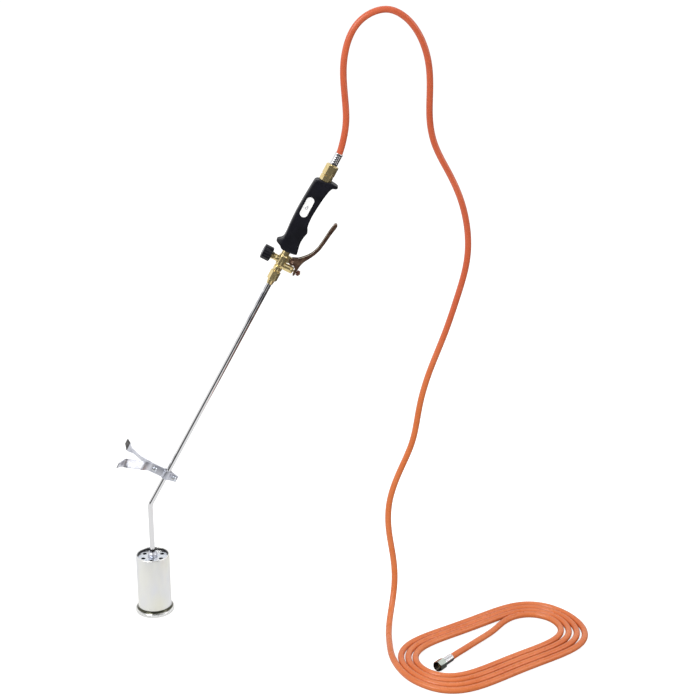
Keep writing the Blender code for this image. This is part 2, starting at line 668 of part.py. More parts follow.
def grip_outline():
    """The grip's side view as (across, along) in the lance frame, anticlockwise."""
    lever_side = [(0.0188, 0.5845), (0.0172, 0.5930), (0.0150, 0.6020), (0.0140, 0.6100),
                  (0.0148, 0.6200), (0.0172, 0.6310), (0.0128, 0.6370), (0.0108, 0.6480),
                  (0.0100, 0.6620), (0.0110, 0.6800), (0.0128, 0.7000), (0.0155, 0.7170),
                  (0.0185, 0.7250)]
    upper_guard = [(0.0235, 0.7262)] + arc((0.0240, 0.7295), 0.0032, -pi / 2, pi / 2, 4)
    top = [(0.0120, 0.7337), (0, 0.7318), (-0.0120, 0.7282), (-0.0158, 0.7262)]
    knob_side = [(-0.0174, 0.7225), (-0.0186, 0.7000), (-0.0196, 0.6780), (-0.0200, 0.6560),
                 (-0.0192, 0.6320), (-0.0176, 0.6130), (-0.0178, 0.6030), (-0.0205, 0.5985)]
    lower_guard = arc((-0.0232, 0.5930), 0.0038, 3 * pi / 4, 3 * pi / 2, 4)
    bottom = [(-0.0172, 0.5868), (-0.0118, 0.5815), (0, 0.5812), (0.0120, 0.5826)]
    return bottom + lever_side + upper_guard + top + knob_side + lower_guard


def build_grip():
    half_gap = GAP / 2
    screws = ((-0.0105, 0.608), (-0.0105, 0.708))
    for name, side in (("grip_front_shell", -1), ("grip_rear_shell", 1)):
        low, high = sorted((side * half_gap, side * GRIP_HALF))
        shell = plate(name, [grip_outline()], low, high, "black_plastic", LANCE)
        round_outer_edges(shell.data, side)
        boolean(shell, oval_bar(name + "_section"), "INTERSECT")
        depth = GRIP_HALF - GRIP_WALL
        cavity = block(name + "_cavity", (-0.0150, -depth, 0.5925), (0.0075, depth, 0.7215),
                       None, LANCE, UP, True)
        boolean(shell, cavity)
        boolean(shell, rod(name + "_lower_hole", 0.0076, 0.57, 0.5950, None, LANCE, UP, 20, True))
        boolean(shell, rod(name + "_upper_hole", 0.0068, 0.7200, 0.76, None, LANCE, UP, 20, True))
        boolean(shell, rod(name + "_pocket", 0.0122, INLET_Z - GAP, 0.76, None, LANCE, UP, 28, True))
        for number, (x, z) in enumerate(screws):
            spot = Matrix.Translation((x, 0, z)) @ FACING_BACK
            hole = rod(f"{name}_screw_{number}", 0.0018, -0.0114, 0.02, None, LANCE, spot, 10, True)
            boolean(shell, hole)
            if side > 0:
                seat = rod(f"{name}_seat_{number}", 0.0036, 0.0108, 0.02, None, LANCE, spot, 16, True)
                boolean(shell, seat)
        if side < 0:
            recess = stadium(0.0410, 0.0155)
            boolean(shell, plate(name + "_recess", [recess], -0.02, -GRIP_HALF + 0.0005,
                                 None, LANCE, LABEL_PLACE, True))
    for number, (x, z) in enumerate(screws):
        spot = Matrix.Translation((x, 0, z)) @ FACING_BACK
        turned(
            f"grip_screw_{number + 1}",
            [(0, 0.0124), (0.0026, 0.0124), (0.0032, 0.0119), (0.0032, 0.0111), (0.0015, 0.0111),
             (0.0015, -0.0105), (0, -0.0112)],
            "zinc", LANCE, spot, steps=16,
        )
    turned(
        "handle_tube",
        [(0.0036, 0.7335), (0.0050, 0.7335), (0.0050, 0.5803), (0.0036, 0.5803)],
        "brass", LANCE, steps=20,
    )
    plate("name_plate", [stadium(0.0400, 0.0145)], -GRIP_HALF - 0.0005, -GRIP_HALF + 0.0002,
          "white_plastic", LANCE, LABEL_PLACE)


def oval_bar(name):
    """A bar of the grip's oval section, along the lance."""
    outline = [(GRIP_OVAL[0] * cos(a), GRIP_OVAL[1] * sin(a)) for a in
               (2 * pi * i / 40 for i in range(40))]
    return plate(name, [outline], 0.56, 0.76, None, LANCE, Matrix.Rotation(pi / 2, 4, "X"), True)


def round_outer_edges(mesh, side):
    """Round the long edges of a grip half's outer face."""
    bm = bmesh.new()
    bm.from_mesh(mesh)
    outer = [e for e in bm.edges if all(abs(v.co.y - side * GRIP_HALF) < 1e-5 for v in e.verts)
             and e.calc_face_angle(0.0) > radians(60)]
    bmesh.ops.bevel(bm, geom=outer, offset=0.0030, segments=2, profile=0.5, affect="EDGES")
    bm.to_mesh(mesh)
    bm.free()


def stadium(length, width):
    """A long rounded outline, centred, with its length along Z."""
    reach = (length - width) / 2
    return arc((0, reach), width / 2, 0, pi, 8) + arc((0, -reach), width / 2, pi, 2 * pi, 8)


# Inlet and hose fittings

def build_inlet():
    nipple = hexagon("inlet_nipple", INLET_FLATS, INLET_Z, INLET_NUT_Z[0] - GAP, "brass", LANCE)
    for name, radius, low, high in (("inlet_spigot", 0.0065, 0.7280, 0.7370),
                                    ("inlet_thread", 0.0073, 0.7400, 0.7550)):
        boolean(nipple, rod(name, radius, low, high, None, LANCE, UP, 24, True), "UNION")
    boolean(nipple, rod("inlet_way", 0.0030, 0.72, 0.77, None, LANCE, UP, 16, True))
    boolean(nipple, rod("inlet_socket", 0.0053, 0.72, 0.7340, None, LANCE, UP, 20, True))
    fitting("hose", LANCE, Matrix.Translation((0, 0, INLET_NUT_Z[0])), INLET_NUT_FLATS, "brass",
            INLET_NUT_Z[1] - INLET_NUT_Z[0], 0.0018)
    fitting("end", END_FITTING, UP, END_NUT_FLATS, "polished_steel", END_NUT_LENGTH, 0.0060)


def fitting(prefix, parent, place, flats, nut_slot, length, nose):
    """Union nut, tail nipple and crimped ferrule along local Z, from the nut's open face."""
    nut = hexagon(prefix + "_union_nut", flats, 0, length, nut_slot, parent, place, bore=0.0050)
    mouth = rod(prefix + "_nut_thread", 0.0077, -0.01, length - 0.0045, None, parent, place, 24, True)
    boolean(nut, mouth)
    seat = length - 0.0048
    ferrule = length + 0.0006
    hose = HOSE_START_Z - INLET_NUT_Z[0] - (INLET_NUT_Z[1] - INLET_NUT_Z[0]) + length
    turned(
        prefix + "_tail_nipple",
        [(0.0025, hose - GAP), (0.0045, hose - GAP), (0.0045, seat), (0.0072, seat),
         (0.0072, seat - 0.0014), (0.0058, seat - 0.0018), (0.0058 - nose / 4, seat - nose),
         (0.0025, seat - nose)],
        "brass", parent, place, steps=20,
    )
    top = ferrule + FERRULE_LENGTH
    crimp = ferrule + FERRULE_LENGTH / 2
    turned(
        prefix + "_ferrule",
        [(0.0063, top), (0.0074, top), (0.0074, crimp + 0.0030), (0.0070, crimp + 0.0020),
         (0.0070, crimp - 0.0020), (0.0074, crimp - 0.0030), (0.0074, ferrule), (0.0048, ferrule),
         (0.0048, ferrule + 0.0020), (0.0063, ferrule + 0.0020)],
        "chrome", parent, place, steps=20,
    )


# Hose

def build_hose():
    in_ferrule = 0.0186
    start = [tuple(lance_point(0, 0, HOSE_START_Z + run)) for run in (0, in_ferrule / 2, in_ferrule)]
    coil_knots = [(*coil_point(i / COIL_STEPS), HOSE_RADIUS)
                  for i in range(int(COIL_TURNS * COIL_STEPS) + 1)]
    drop = smooth_curve(start + HOSE_DROP + coil_knots[:3], 12)[:-2 * 12]
    tube("hose_drop", tube_points(drop, in_ferrule, LANDING_STEP), HOSE_RADIUS, "orange_rubber")

    last = len(coil_knots) - 1
    leave = last / COIL_STEPS
    heading = Vector((cos(HOSE_END_HEADING), sin(HOSE_END_HEADING), 0))
    finish = [tuple(HOSE_END + heading * run) for run in (0, in_ferrule / 2, in_ferrule)]
    tail = smooth_curve(coil_knots[-3:] + HOSE_TAIL + finish, 12)[2 * 12:]
    tube("hose_tail", tube_points(tail, LANDING_STEP, in_ferrule), HOSE_RADIUS, "orange_rubber")

    fine = 2 * COIL_STEPS
    outer = [coil_point(i / fine, HOSE_RADIUS - GAP) for i in range(fine)]
    outer.append(coil_point(0, -HOSE_RADIUS - GAP))
    inner = [coil_point(leave - i / fine, -HOSE_RADIUS) for i in range(fine)]
    inner.append(coil_point(leave, HOSE_RADIUS + GAP))
    lay_flat = Matrix.Rotation(-pi / 2, 4, "X")
    plate("hose_coil", [outer, inner], 0, 2 * HOSE_RADIUS, "orange_rubber", None,
          Matrix.Scale(-1, 4, (0, 0, 1)) @ lay_flat)


clear_scene()
TORCH = new_collection("propane_torch")
CUTTERS = new_collection("cutters")

BURNER = new_empty("burner_axis", Matrix.Translation((BURNER_X, 0, 0)))
LANCE_PLACE = Matrix.Translation((BURNER_X, 0, BEND_Z)) @ Matrix.Rotation(LEAN, 4, "Y")
LANCE = new_empty("lance_frame", LANCE_PLACE)
STAND = new_empty("stand_frame", UP, LANCE)
KNOB = new_empty("knob_axis", Matrix.Translation((0, 0, KNOB_Z)) @ TO_KNOB, LANCE)
PLUNGER = new_empty("plunger_axis", Matrix.Translation((0, 0, PORT_Z)) @ TO_LEVER, LANCE)
LEVER = new_empty("lever_axis", Matrix.Translation((PIVOT[0], 0, PIVOT[1])), LANCE)
LABEL_PLACE = Matrix.Translation((-0.0065, 0, 0.6740))
END_HEADING = Vector((cos(HOSE_END_HEADING), sin(HOSE_END_HEADING), 0))
END_MOUTH = HOSE_END + END_HEADING * (FERRULE_LENGTH + 0.0006 + END_NUT_LENGTH)
END_FITTING = new_empty(
    "end_fitting_axis",
    Matrix.Translation(END_MOUTH) @ Matrix.Rotation(HOSE_END_HEADING + pi, 4, "Z")
    @ Matrix.Rotation(pi / 2, 4, "Y"),
)
bpy.context.view_layer.update()

build_burner()
build_lance()
build_stand()
build_valve_body()
build_knob()
build_plunger()
build_lever()
build_grip()
build_inlet()
build_hose()
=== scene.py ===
"""The looks of the propane torch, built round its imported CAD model.

Units are metres. Turned and hexagonal pieces are made along their own local Z and placed by
a matrix, so their materials run along that axis. The lance frame is the CAD model's: local Z
runs up the lance, and local X runs square to it, towards the lever.
"""

import json
from math import atan2, cos, pi, radians, sin, sqrt, tan

import bmesh
import bpy
import numpy as np
from mathutils import Matrix, Vector


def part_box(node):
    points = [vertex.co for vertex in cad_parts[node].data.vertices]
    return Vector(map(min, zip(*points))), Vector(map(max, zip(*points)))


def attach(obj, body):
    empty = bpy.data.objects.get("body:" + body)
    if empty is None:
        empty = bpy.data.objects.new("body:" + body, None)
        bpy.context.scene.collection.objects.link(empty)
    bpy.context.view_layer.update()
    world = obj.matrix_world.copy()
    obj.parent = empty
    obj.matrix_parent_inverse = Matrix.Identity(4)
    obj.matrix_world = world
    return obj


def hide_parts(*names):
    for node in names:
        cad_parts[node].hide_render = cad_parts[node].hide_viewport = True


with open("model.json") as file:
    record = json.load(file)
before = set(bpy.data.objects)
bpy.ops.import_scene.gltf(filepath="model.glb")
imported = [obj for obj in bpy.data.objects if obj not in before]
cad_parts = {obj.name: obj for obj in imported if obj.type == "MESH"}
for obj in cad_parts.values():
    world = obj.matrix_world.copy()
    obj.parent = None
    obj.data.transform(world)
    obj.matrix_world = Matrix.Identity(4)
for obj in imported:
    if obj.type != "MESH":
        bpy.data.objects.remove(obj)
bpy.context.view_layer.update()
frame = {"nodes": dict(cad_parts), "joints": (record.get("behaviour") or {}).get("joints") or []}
NODES = frame["nodes"]
JOINTS = {painted_shade_joint["name"]: painted_shade_joint for painted_shade_joint in frame["joints"]}

GAP = 0.0003


def at(x, y, z):
    return Matrix.Translation((x, y, z))



# Burner, in its own frame: Z up from the floor
burner_low, burner_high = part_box("burner_bell")
BELL_RADIUS = (burner_high.x - burner_low.x) / 2
BELL_TOP = burner_high.z
BELL_WALL = 0.0014
PLATE_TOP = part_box("bell_back_plate")[1].z
PLATE_THICKNESS = 0.0013
AIR_HOLE_CIRCLE = 0.02
AIR_HOLE_RADIUS = 0.0041
RING_RADIUS = (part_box("mouth_ring")[1].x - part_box("mouth_ring")[0].x) / 2
RETAINER_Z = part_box("flame_retainer")[0].z
BURNER = Matrix.Translation(((burner_low.x + burner_high.x) / 2, 0, 0))

# Lance frame, from the stand's slide and the lever's hinge
ALONG = Vector(JOINTS["stand_slide"]["axis"]).normalized()
ACROSS = Vector((ALONG.z, 0, -ALONG.x))
LEAN = atan2(ALONG.x, ALONG.z)
PIVOT = (0.0185, 0.568)
bend = Vector(JOINTS["lever_squeeze"]["pos_m"]) - PIVOT[0] * ACROSS - PIVOT[1] * ALONG
LANCE = Matrix.Translation(bend) @ Matrix.Rotation(LEAN, 4, "Y")
PIPE_RADIUS = 0.005
BEND_RADIUS = 0.03
NECK_START = 0.113

STAND_Z = 0.073
STAND_WIDTH = 0.0175
STAND_SHEET = 0.0018
STAND_TAB_GAP = 0.0004
STAND_BOLTS = (0.0165, -0.0245)
STAND_TWIST = radians(45)

LANCE_NUT_Z = (0.5195, 0.538)
LANCE_NUT_FLATS = 0.017
PORT_Z = 0.5525
KNOB_Z = 0.561
KNOB_RADIUS = 0.0138
PIN_RADIUS = 0.0018
LEVER_HALF = 0.0056
LEVER_GAP = 0.0033

GRIP_HALF = 0.0125
GRIP_OVAL = (0.0292, 0.015)
GRIP_SCREWS = ((-0.0105, 0.608), (-0.0105, 0.708))
PLATE_CENTRE = (-0.0065, 0.674)
INLET_Z = 0.7303
INLET_FLATS = 0.02
INLET_NUT_Z = (0.7418, 0.762)
INLET_NUT_FLATS = 0.0205
FERRULE_LENGTH = 0.024
UNION_PITCH = 0.00134

TO_KNOB = Matrix.Rotation(-pi / 2, 4, "Y")
TO_LEVER = Matrix.Rotation(pi / 2, 4, "Y")
FACING_BACK = Matrix.Rotation(-pi / 2, 4, "X")
ARM = at(0, 0, KNOB_Z) @ TO_KNOB
PORT = at(0, 0, PORT_Z) @ TO_LEVER
KNOB = LANCE @ ARM
PLUNGER = LANCE @ PORT
LEVER = LANCE @ at(PIVOT[0], 0, PIVOT[1])

# The hose's end fitting: its axis leaves the hose, its frame's Z runs back from the mouth
END_AXIS = Vector(JOINTS["end_nut_turn"]["axis"]).normalized()
END_NUT_FLATS = 0.018
END_NUT_LENGTH = 0.019
END_MOUTH = Vector(JOINTS["end_nut_turn"]["pos_m"]) + 0.01 * END_AXIS
HOSE_END = END_MOUTH - (FERRULE_LENGTH + 0.0006 + END_NUT_LENGTH) * END_AXIS
END_FITTING = (
    Matrix.Translation(END_MOUTH)
    @ Matrix.Rotation(atan2(END_AXIS.y, END_AXIS.x) + pi, 4, "Z")
    @ Matrix.Rotation(pi / 2, 4, "Y")
)

# Hose
HOSE_RADIUS = 0.006
HOSE_START_Z = 0.768
IN_FERRULE = 0.0186
COIL_CENTRE = (0.5, -0.146)
COIL_HEADING = radians(33.7)
COIL_HALF_LENGTH = 0.201
COIL_HALF_WIDTH = 0.1045
COIL_END_PITCH = 0.0128
COIL_SIDE_PITCH = 0.0133
COIL_DRIFT = 0.0012
COIL_WAIST = 0.635
COIL_START = radians(-181)
COIL_TURNS = 3.56
COIL_STEPS = 28
HOSE_DROP = [
    (0.2160, 0.000, 0.949), (0.2205, 0.000, 0.977), (0.2205, 0.000, 1.005),
    (0.2172, 0.000, 1.045), (0.2168, 0.000, 1.085), (0.2250, 0.000, 1.125),
    (0.2420, 0.000, 1.155), (0.2670, 0.001, 1.173), (0.2950, 0.002, 1.178),
    (0.3210, 0.004, 1.167), (0.3430, 0.008, 1.144), (0.3600, 0.014, 1.110),
    (0.3690, 0.022, 1.070), (0.3710, 0.030, 1.025), (0.3720, 0.038, 0.980),
    (0.3830, 0.044, 0.930), (0.4110, 0.050, 0.875), (0.4350, 0.056, 0.820),
    (0.4480, 0.060, 0.760), (0.4470, 0.061, 0.700), (0.4300, 0.060, 0.630),
    (0.4080, 0.057, 0.560), (0.3820, 0.052, 0.490), (0.3630, 0.046, 0.420),
    (0.3500, 0.038, 0.350), (0.3260, 0.029, 0.290), (0.3060, 0.019, 0.230),
    (0.3040, 0.008, 0.175), (0.3120, -0.004, 0.125), (0.3160, -0.018, 0.080),
    (0.3120, -0.037, 0.042), (0.3060, -0.066, 0.017), (0.3030, -0.105, 0.0065),
    (0.3038, -0.150, 0.006), (0.3094, -0.200, 0.006),
]
HOSE_TAIL = [
    (0.5820, -0.0320, 0.0060), (0.5400, -0.0500, 0.0062), (0.5080, -0.0925, 0.0064),
    (0.4760, -0.1305, 0.0070), (0.4445, -0.1675, 0.0084), (0.4304, -0.1837, 0.0090),
]

# Brightness of the studio, as the metal sees it and as soft light
SOFT_LIGHT = (0.48, 0.48, 0.49)
WALLS = (0.95, 0.95, 0.95)
CEILING = (0.16, 0.16, 0.17)
BEHIND_CAMERA = (0.06, 0.06, 0.065)
FLOOR_GREY = (0.55, 0.55, 0.54)
FLOOR_GLOW = 0.8
FLOOR_NEAR = 0.88
FLOOR_FAR = 0.07


# Camera, light and floor

def placed(name, data):
    """An object in the scene for a mesh, a curve, a camera or a light."""
    holder = bpy.data.objects.new(name, data)
    bpy.context.scene.collection.objects.link(holder)
    return holder


def make_camera():
    camera = bpy.data.cameras.new("camera")
    camera.lens = 77.1
    camera.sensor_width = 36
    camera.clip_end = 50
    holder = placed("camera", camera)
    holder.location = (0.228, -2.655, 1.49)
    holder.rotation_euler = (radians(90 - 19.5), 0, 0)
    bpy.context.scene.camera = holder


def make_light(name, place, target, size, power, mirrored=True):
    data = bpy.data.lights.new(name, "AREA")
    data.shape = "RECTANGLE"
    data.size, data.size_y = size
    data.energy = power
    light = placed(name, data)
    light.location = place
    light.visible_glossy = mirrored
    light.visible_camera = False
    aim = Vector(target) - Vector(place)
    light.rotation_euler = aim.to_track_quat("-Z", "Y").to_euler()


class Nodes:
    """Short calls for building a node tree."""

    def add(self, kind, **values):
        node = self.tree.nodes.new("ShaderNode" + kind)
        for name, value in values.items():
            setattr(node, name, value)
        return node

    def link(self, source, target):
        self.tree.links.new(source, target)

    def feed(self, socket, value):
        """Give a socket a colour, a number or another node's output."""
        if isinstance(value, tuple):
            socket.default_value = (*value, 1)
        elif isinstance(value, (int, float)):
            socket.default_value = value
        else:
            self.link(value, socket)

    def span(self, value, low, high, to_low=0.0, to_high=1.0, easing="LINEAR"):
        node = self.add("MapRange", interpolation_type=easing)
        for name, number in (("From Min", low), ("From Max", high),
                             ("To Min", to_low), ("To Max", to_high)):
            node.inputs[name].default_value = number
        self.link(value, node.inputs["Value"])
        return node.outputs[0]

    def math(self, operation, *values):
        node = self.add("Math", operation=operation)
        for socket, value in zip(node.inputs, values):
            self.feed(socket, value)
        return node.outputs[0]

    def blend(self, factor, first, second):
        """A colour between two: each is a colour or another node's output."""
        node = self.add("Mix", data_type="RGBA")
        self.link(factor, node.inputs["Factor"])
        self.feed(node.inputs["A"], first)
        self.feed(node.inputs["B"], second)
        return node.outputs["Result"]

    def axes(self, which="Object"):
        split = self.add("SeparateXYZ")
        self.link(self.place.outputs[which], split.inputs[0])
        return split.outputs


class Studio(Nodes):
    """The node tree of the world or the floor, with what a ray of each kind sees."""

    def __init__(self, tree, output):
        self.tree = tree
        tree.nodes.clear()
        self.rays = self.add("LightPath")
        self.output = self.add(output)
        self.place = self.add("TexCoord")

    def ramp(self, value, low, high, to_low, to_high):
        return self.span(value, low, high, to_low, to_high, "SMOOTHSTEP")

    def choose(self, ray, other, chosen):
        node = self.add("MixShader")
        self.link(self.rays.outputs[ray], node.inputs[0])
        self.link(other, node.inputs[1])
        self.link(chosen, node.inputs[2])
        return node.outputs[0]


def make_world():
    """White for the camera, soft light for dull surfaces, and a room for the metal to reflect."""
    world = bpy.data.worlds.new("studio")
    bpy.context.scene.world = world
    world.use_nodes = True
    studio = Studio(world.node_tree, "OutputWorld")
    axes = studio.axes("Generated")
    room = studio.blend(studio.ramp(axes["Z"], 0.6, 0.85, 0.0, 1.0), WALLS, CEILING)
    facing = studio.math("MULTIPLY", studio.ramp(axes["Y"], -0.64, -0.46, 1.0, 0.0),
                         studio.ramp(axes["Z"], 0.35, 0.6, 1.0, 0.0))
    shades = []
    for colour in ((1, 1, 1), SOFT_LIGHT, studio.blend(facing, room, BEHIND_CAMERA)):
        background = studio.add("Background")
        studio.feed(background.inputs["Color"], colour)
        shades.append(background.outputs[0])
    seen, soft, reflected = shades
    shade = studio.choose("Is Camera Ray", studio.choose("Is Glossy Ray", soft, reflected), seen)
    studio.link(shade, studio.output.inputs[0])


def make_floor():
    """White paper with faint shadows for the camera; metal sees it darken to the right and far off."""
    bm = bmesh.new()
    bmesh.ops.create_grid(bm, x_segments=1, y_segments=1, size=12)
    mesh = bpy.data.meshes.new("floor")
    bm.to_mesh(mesh)
    bm.free()
    floor = placed("floor", mesh)
    floor.location = (0, 0, -0.0002)
    paper = bpy.data.materials.new("paper")
    paper.use_nodes = True
    studio = Studio(paper.node_tree, "OutputMaterial")
    grey = studio.add("BsdfDiffuse")
    studio.feed(grey.inputs["Color"], FLOOR_GREY)
    glow = studio.add("Emission")
    glow.inputs["Strength"].default_value = FLOOR_GLOW
    lit = studio.add("AddShader")
    studio.link(grey.outputs[0], lit.inputs[0])
    studio.link(glow.outputs[0], lit.inputs[1])
    axes = studio.axes()
    near = studio.math("MULTIPLY", studio.ramp(axes["X"], 0.3, 0.42, 1.0, 0.0),
                       studio.ramp(axes["Y"], -2.4, -1.6, 0.0, 1.0))
    slant = studio.math("MULTIPLY_ADD", axes["Y"], 0.21, axes["X"])
    aside = studio.math("MULTIPLY", studio.ramp(slant, -0.36, -0.27, 1.0, 0.0),
                        studio.ramp(axes["Y"], -0.8, -0.55, 1.0, 0.0))
    near = studio.math("MULTIPLY", near, studio.math("SUBTRACT", 1.0, aside))
    mirrored = studio.add("Emission")
    studio.link(studio.ramp(near, 0.0, 1.0, FLOOR_FAR, FLOOR_NEAR), mirrored.inputs["Strength"])
    dull = studio.choose("Is Glossy Ray", grey.outputs[0], mirrored.outputs[0])
    studio.link(studio.choose("Is Camera Ray", dull, lit.outputs[0]), studio.output.inputs[0])
    mesh.materials.append(paper)


# Materials

class Finish(Nodes):
    """A material under construction: a Principled shader and short calls for its nodes."""

    def __init__(self, name, colour, metallic=0.0, roughness=0.4, **sockets):
        self.material = bpy.data.materials.new(name)
        self.material.use_nodes = True
        self.tree = self.material.node_tree
        self.shader = self.tree.nodes["Principled BSDF"]
        self.shader.inputs["Base Color"].default_value = (*colour, 1)
        self.shader.inputs["Metallic"].default_value = metallic
        self.shader.inputs["Roughness"].default_value = roughness
        for socket, value in sockets.items():
            self.shader.inputs[socket.replace("_", " ")].default_value = value
        self.place = self.add("TexCoord")

    def coordinates(self, stretch=(1, 1, 1), which="Object"):
        """Object or UV coordinates, with each axis multiplied."""
        mapping = self.add("Mapping")
        mapping.inputs["Scale"].default_value = stretch
        self.link(self.place.outputs[which], mapping.inputs["Vector"])
        return mapping.outputs["Vector"]

    def noise(self, scale, detail, stretch=(1, 1, 1), roughness=0.5):
        node = self.add("TexNoise")
        node.inputs["Scale"].default_value = scale
        node.inputs["Detail"].default_value = detail
        node.inputs["Roughness"].default_value = roughness
        self.link(self.coordinates(stretch), node.inputs["Vector"])
        return node.outputs["Fac"]

    def clouds(self, noise, low, high, first, second):
        """Soft patches of two colours; the noise passes from one to the other between low and high."""
        return self.blend(self.span(self.noise(*noise), low, high), first, second)

    def tint(self, source):
        self.link(source, self.shader.inputs["Base Color"])

    def rough(self, low, high, *noise):
        self.link(self.span(self.noise(*noise), 0.3, 0.7, low, high), self.shader.inputs["Roughness"])

    def grain(self, distance, strength, *noise):
        self.relief(self.noise(*noise), distance, strength)

    def relief(self, height, distance, strength):
        """Bump, in metres; a second call adds to the first."""
        bump = self.add("Bump")
        bump.inputs["Distance"].default_value = distance
        bump.inputs["Strength"].default_value = strength
        self.link(height, bump.inputs["Height"])
        socket = self.shader.inputs["Normal"]
        if socket.is_linked:
            self.link(socket.links[0].from_socket, bump.inputs["Normal"])
        self.link(bump.outputs[0], socket)

    def radius(self):
        """Distance from the piece's own Z axis."""
        axes = self.axes()
        squares = [self.math("POWER", axes[axis], 2.0) for axis in ("X", "Y")]
        return self.math("SQRT", self.math("ADD", *squares))

    def height(self):
        return self.axes()["Z"]


def satin_steel():
    """Drawn stainless with faint cool and warm stains, and painted shade darkening the inside of the bell."""
    finish = Finish("satin_steel", (0.9, 0.9, 0.87), 1.0, 0.36)
    stain = finish.clouds((26, 2, (1, 1, 0.5)), 0.35, 0.65, (0.92, 0.92, 0.87), (0.85, 0.86, 0.89))
    warm = finish.blend(finish.span(finish.noise(17, 1, (1, 1, 0.6)), 0.52, 0.75),
                        stain, (0.92, 0.91, 0.77))
    # Painted shade: everything inside the bell below its rim is painted near black.
    inside = finish.math("LESS_THAN", finish.radius(), BELL_RADIUS - BELL_WALL * 0.6)
    painted_shade_in_bell = finish.math("MULTIPLY", inside, finish.math("LESS_THAN", finish.height(), BELL_TOP - 0.0012))
    finish.tint(finish.blend(painted_shade_in_bell, warm, (0.12, 0.115, 0.11)))
    finish.rough(0.31, 0.43, 300, 4, (1, 1, 0.12))
    finish.grain(0.00002, 0.5, 900, 3, (0.15, 0.15, 8))
    return finish


def end_nut_steel():
    """The hose end's nut: pale green passivation outside, and painted shade darkening its mouth and open
    face.
    """
    finish = Finish("end_nut_steel", (0.78, 0.86, 0.78), 1.0, 0.14)
    scuff = finish.clouds((160, 4), 0.5, 0.8, (0.8, 0.88, 0.8), (0.55, 0.6, 0.54))
    # Painted shade: the bore and the open face are painted near black.
    painted_shade_mouth = finish.math("MAXIMUM", finish.math("LESS_THAN", finish.radius(), 0.008),
                        finish.math("LESS_THAN", finish.height(), 0.0009))
    finish.tint(finish.blend(painted_shade_mouth, scuff, (0.045, 0.038, 0.03)))
    finish.rough(0.1, 0.24, 240, 5)
    finish.grain(0.00001, 0.4, 1400, 2, (0.1, 0.1, 3))
    return finish


def polished_steel():
    """Bright metal with fine turning marks and small scuffs."""
    finish = Finish("polished_steel", (0.8, 0.8, 0.79), 1.0, 0.1)
    finish.tint(finish.clouds((160, 4), 0.55, 0.8, (0.82, 0.82, 0.81), (0.62, 0.61, 0.58)))
    finish.rough(0.07, 0.2, 240, 5)
    finish.grain(0.00001, 0.4, 1400, 2, (0.1, 0.1, 3))
    return finish


def flare_steel():
    """The mouth ring: bright outside, with painted shade darkening it where it meets the bell."""
    finish = Finish("flare_steel", (0.8, 0.8, 0.79), 1.0, 0.12)
    scuff = finish.clouds((160, 4), 0.55, 0.8, (0.84, 0.84, 0.83), (0.58, 0.57, 0.54))
    # Painted shade: the ring is painted dark near the bell.
    painted_shade_joint = finish.span(finish.radius(), BELL_RADIUS + 0.0022, BELL_RADIUS + 0.0036, 1.0, 0.0)
    finish.tint(finish.blend(painted_shade_joint, scuff, (0.085, 0.085, 0.06)))
    finish.rough(0.08, 0.22, 240, 5)
    finish.grain(0.00001, 0.4, 1400, 2, (0.1, 0.1, 3))
    return finish


def chrome():
    finish = Finish("chrome", (0.83, 0.83, 0.85), 1.0, 0.08)
    finish.rough(0.05, 0.14, 90, 5, (1, 1, 0.3))
    finish.grain(0.00003, 0.3, 420, 3, (1, 1, 0.1))
    return finish


def lance_chrome():
    """Bright tube with faint long grinding marks, cloudier in its last stretch before the valve."""
    finish = Finish("lance_chrome", (0.82, 0.82, 0.83), 1.0, 0.1)
    cloudy = finish.span(finish.height(), 0.36, 0.44)
    blotch = finish.math("MULTIPLY", cloudy, finish.span(finish.noise(150, 4, (1, 1, 0.55)), 0.44, 0.62))
    finish.tint(finish.blend(blotch, (0.82, 0.82, 0.83), (0.46, 0.46, 0.5)))
    finish.rough(0.05, 0.13, 120, 5, (1, 1, 0.2))
    finish.grain(0.00002, 0.25, 500, 3, (1, 1, 0.06))
    finish.relief(finish.math("MULTIPLY", blotch, finish.noise(260, 3)), 0.0001, 0.4)
    return finish


def zinc():
    """Zinc plate: pale, faintly blue, with soft clouding."""
    finish = Finish("zinc", (0.8, 0.83, 0.88), 1.0, 0.26)
    cloud = finish.clouds((90, 3), 0.35, 0.65, (0.86, 0.88, 0.91), (0.7, 0.75, 0.84))
    finish.tint(finish.blend(finish.span(finish.noise(140, 2), 0.62, 0.75), cloud, (0.82, 0.8, 0.72)))
    finish.rough(0.18, 0.34, 260, 4)
    finish.grain(0.00003, 0.4, 700, 4)
    return finish


def strap_zinc():
    """The stand's sheet: bluer and duller than the turned pieces."""
    finish = Finish("strap_zinc", (0.74, 0.75, 0.81), 0.97, 0.4)
    cloud = finish.span(finish.noise(75, 3), 0.35, 0.65)
    finish.tint(finish.blend(cloud, (0.77, 0.78, 0.83), (0.64, 0.66, 0.74)))
    finish.rough(0.3, 0.48, 260, 4)
    finish.grain(0.00003, 0.4, 700, 4)
    return finish


def painted_reflection_foot():
    """The rear foot, painted dark grey as a painted dark reflection."""
    finish = Finish("painted_reflection_foot", (0.06, 0.058, 0.056), 0.4, 0.5)
    finish.tint(finish.clouds((190, 4), 0.4, 0.7, (0.035, 0.035, 0.035), (0.13, 0.12, 0.115)))
    finish.rough(0.4, 0.6, 300, 3)
    finish.grain(0.00005, 0.5, 800, 4)
    return finish


def brass():
    """Machined brass with fine tool marks and a little tarnish."""
    finish = Finish("brass", (0.84, 0.68, 0.36), 0.9, 0.22)
    tarnish = finish.span(finish.noise(210, 5, roughness=0.6), 0.5, 0.72)
    finish.tint(finish.blend(tarnish, (0.86, 0.7, 0.36), (0.66, 0.49, 0.2)))
    finish.rough(0.16, 0.28, 320, 4)
    finish.grain(0.00001, 0.25, 1500, 2, (0.08, 0.08, 2.5))
    finish.grain(0.00001, 0.1, 500, 3)
    return finish


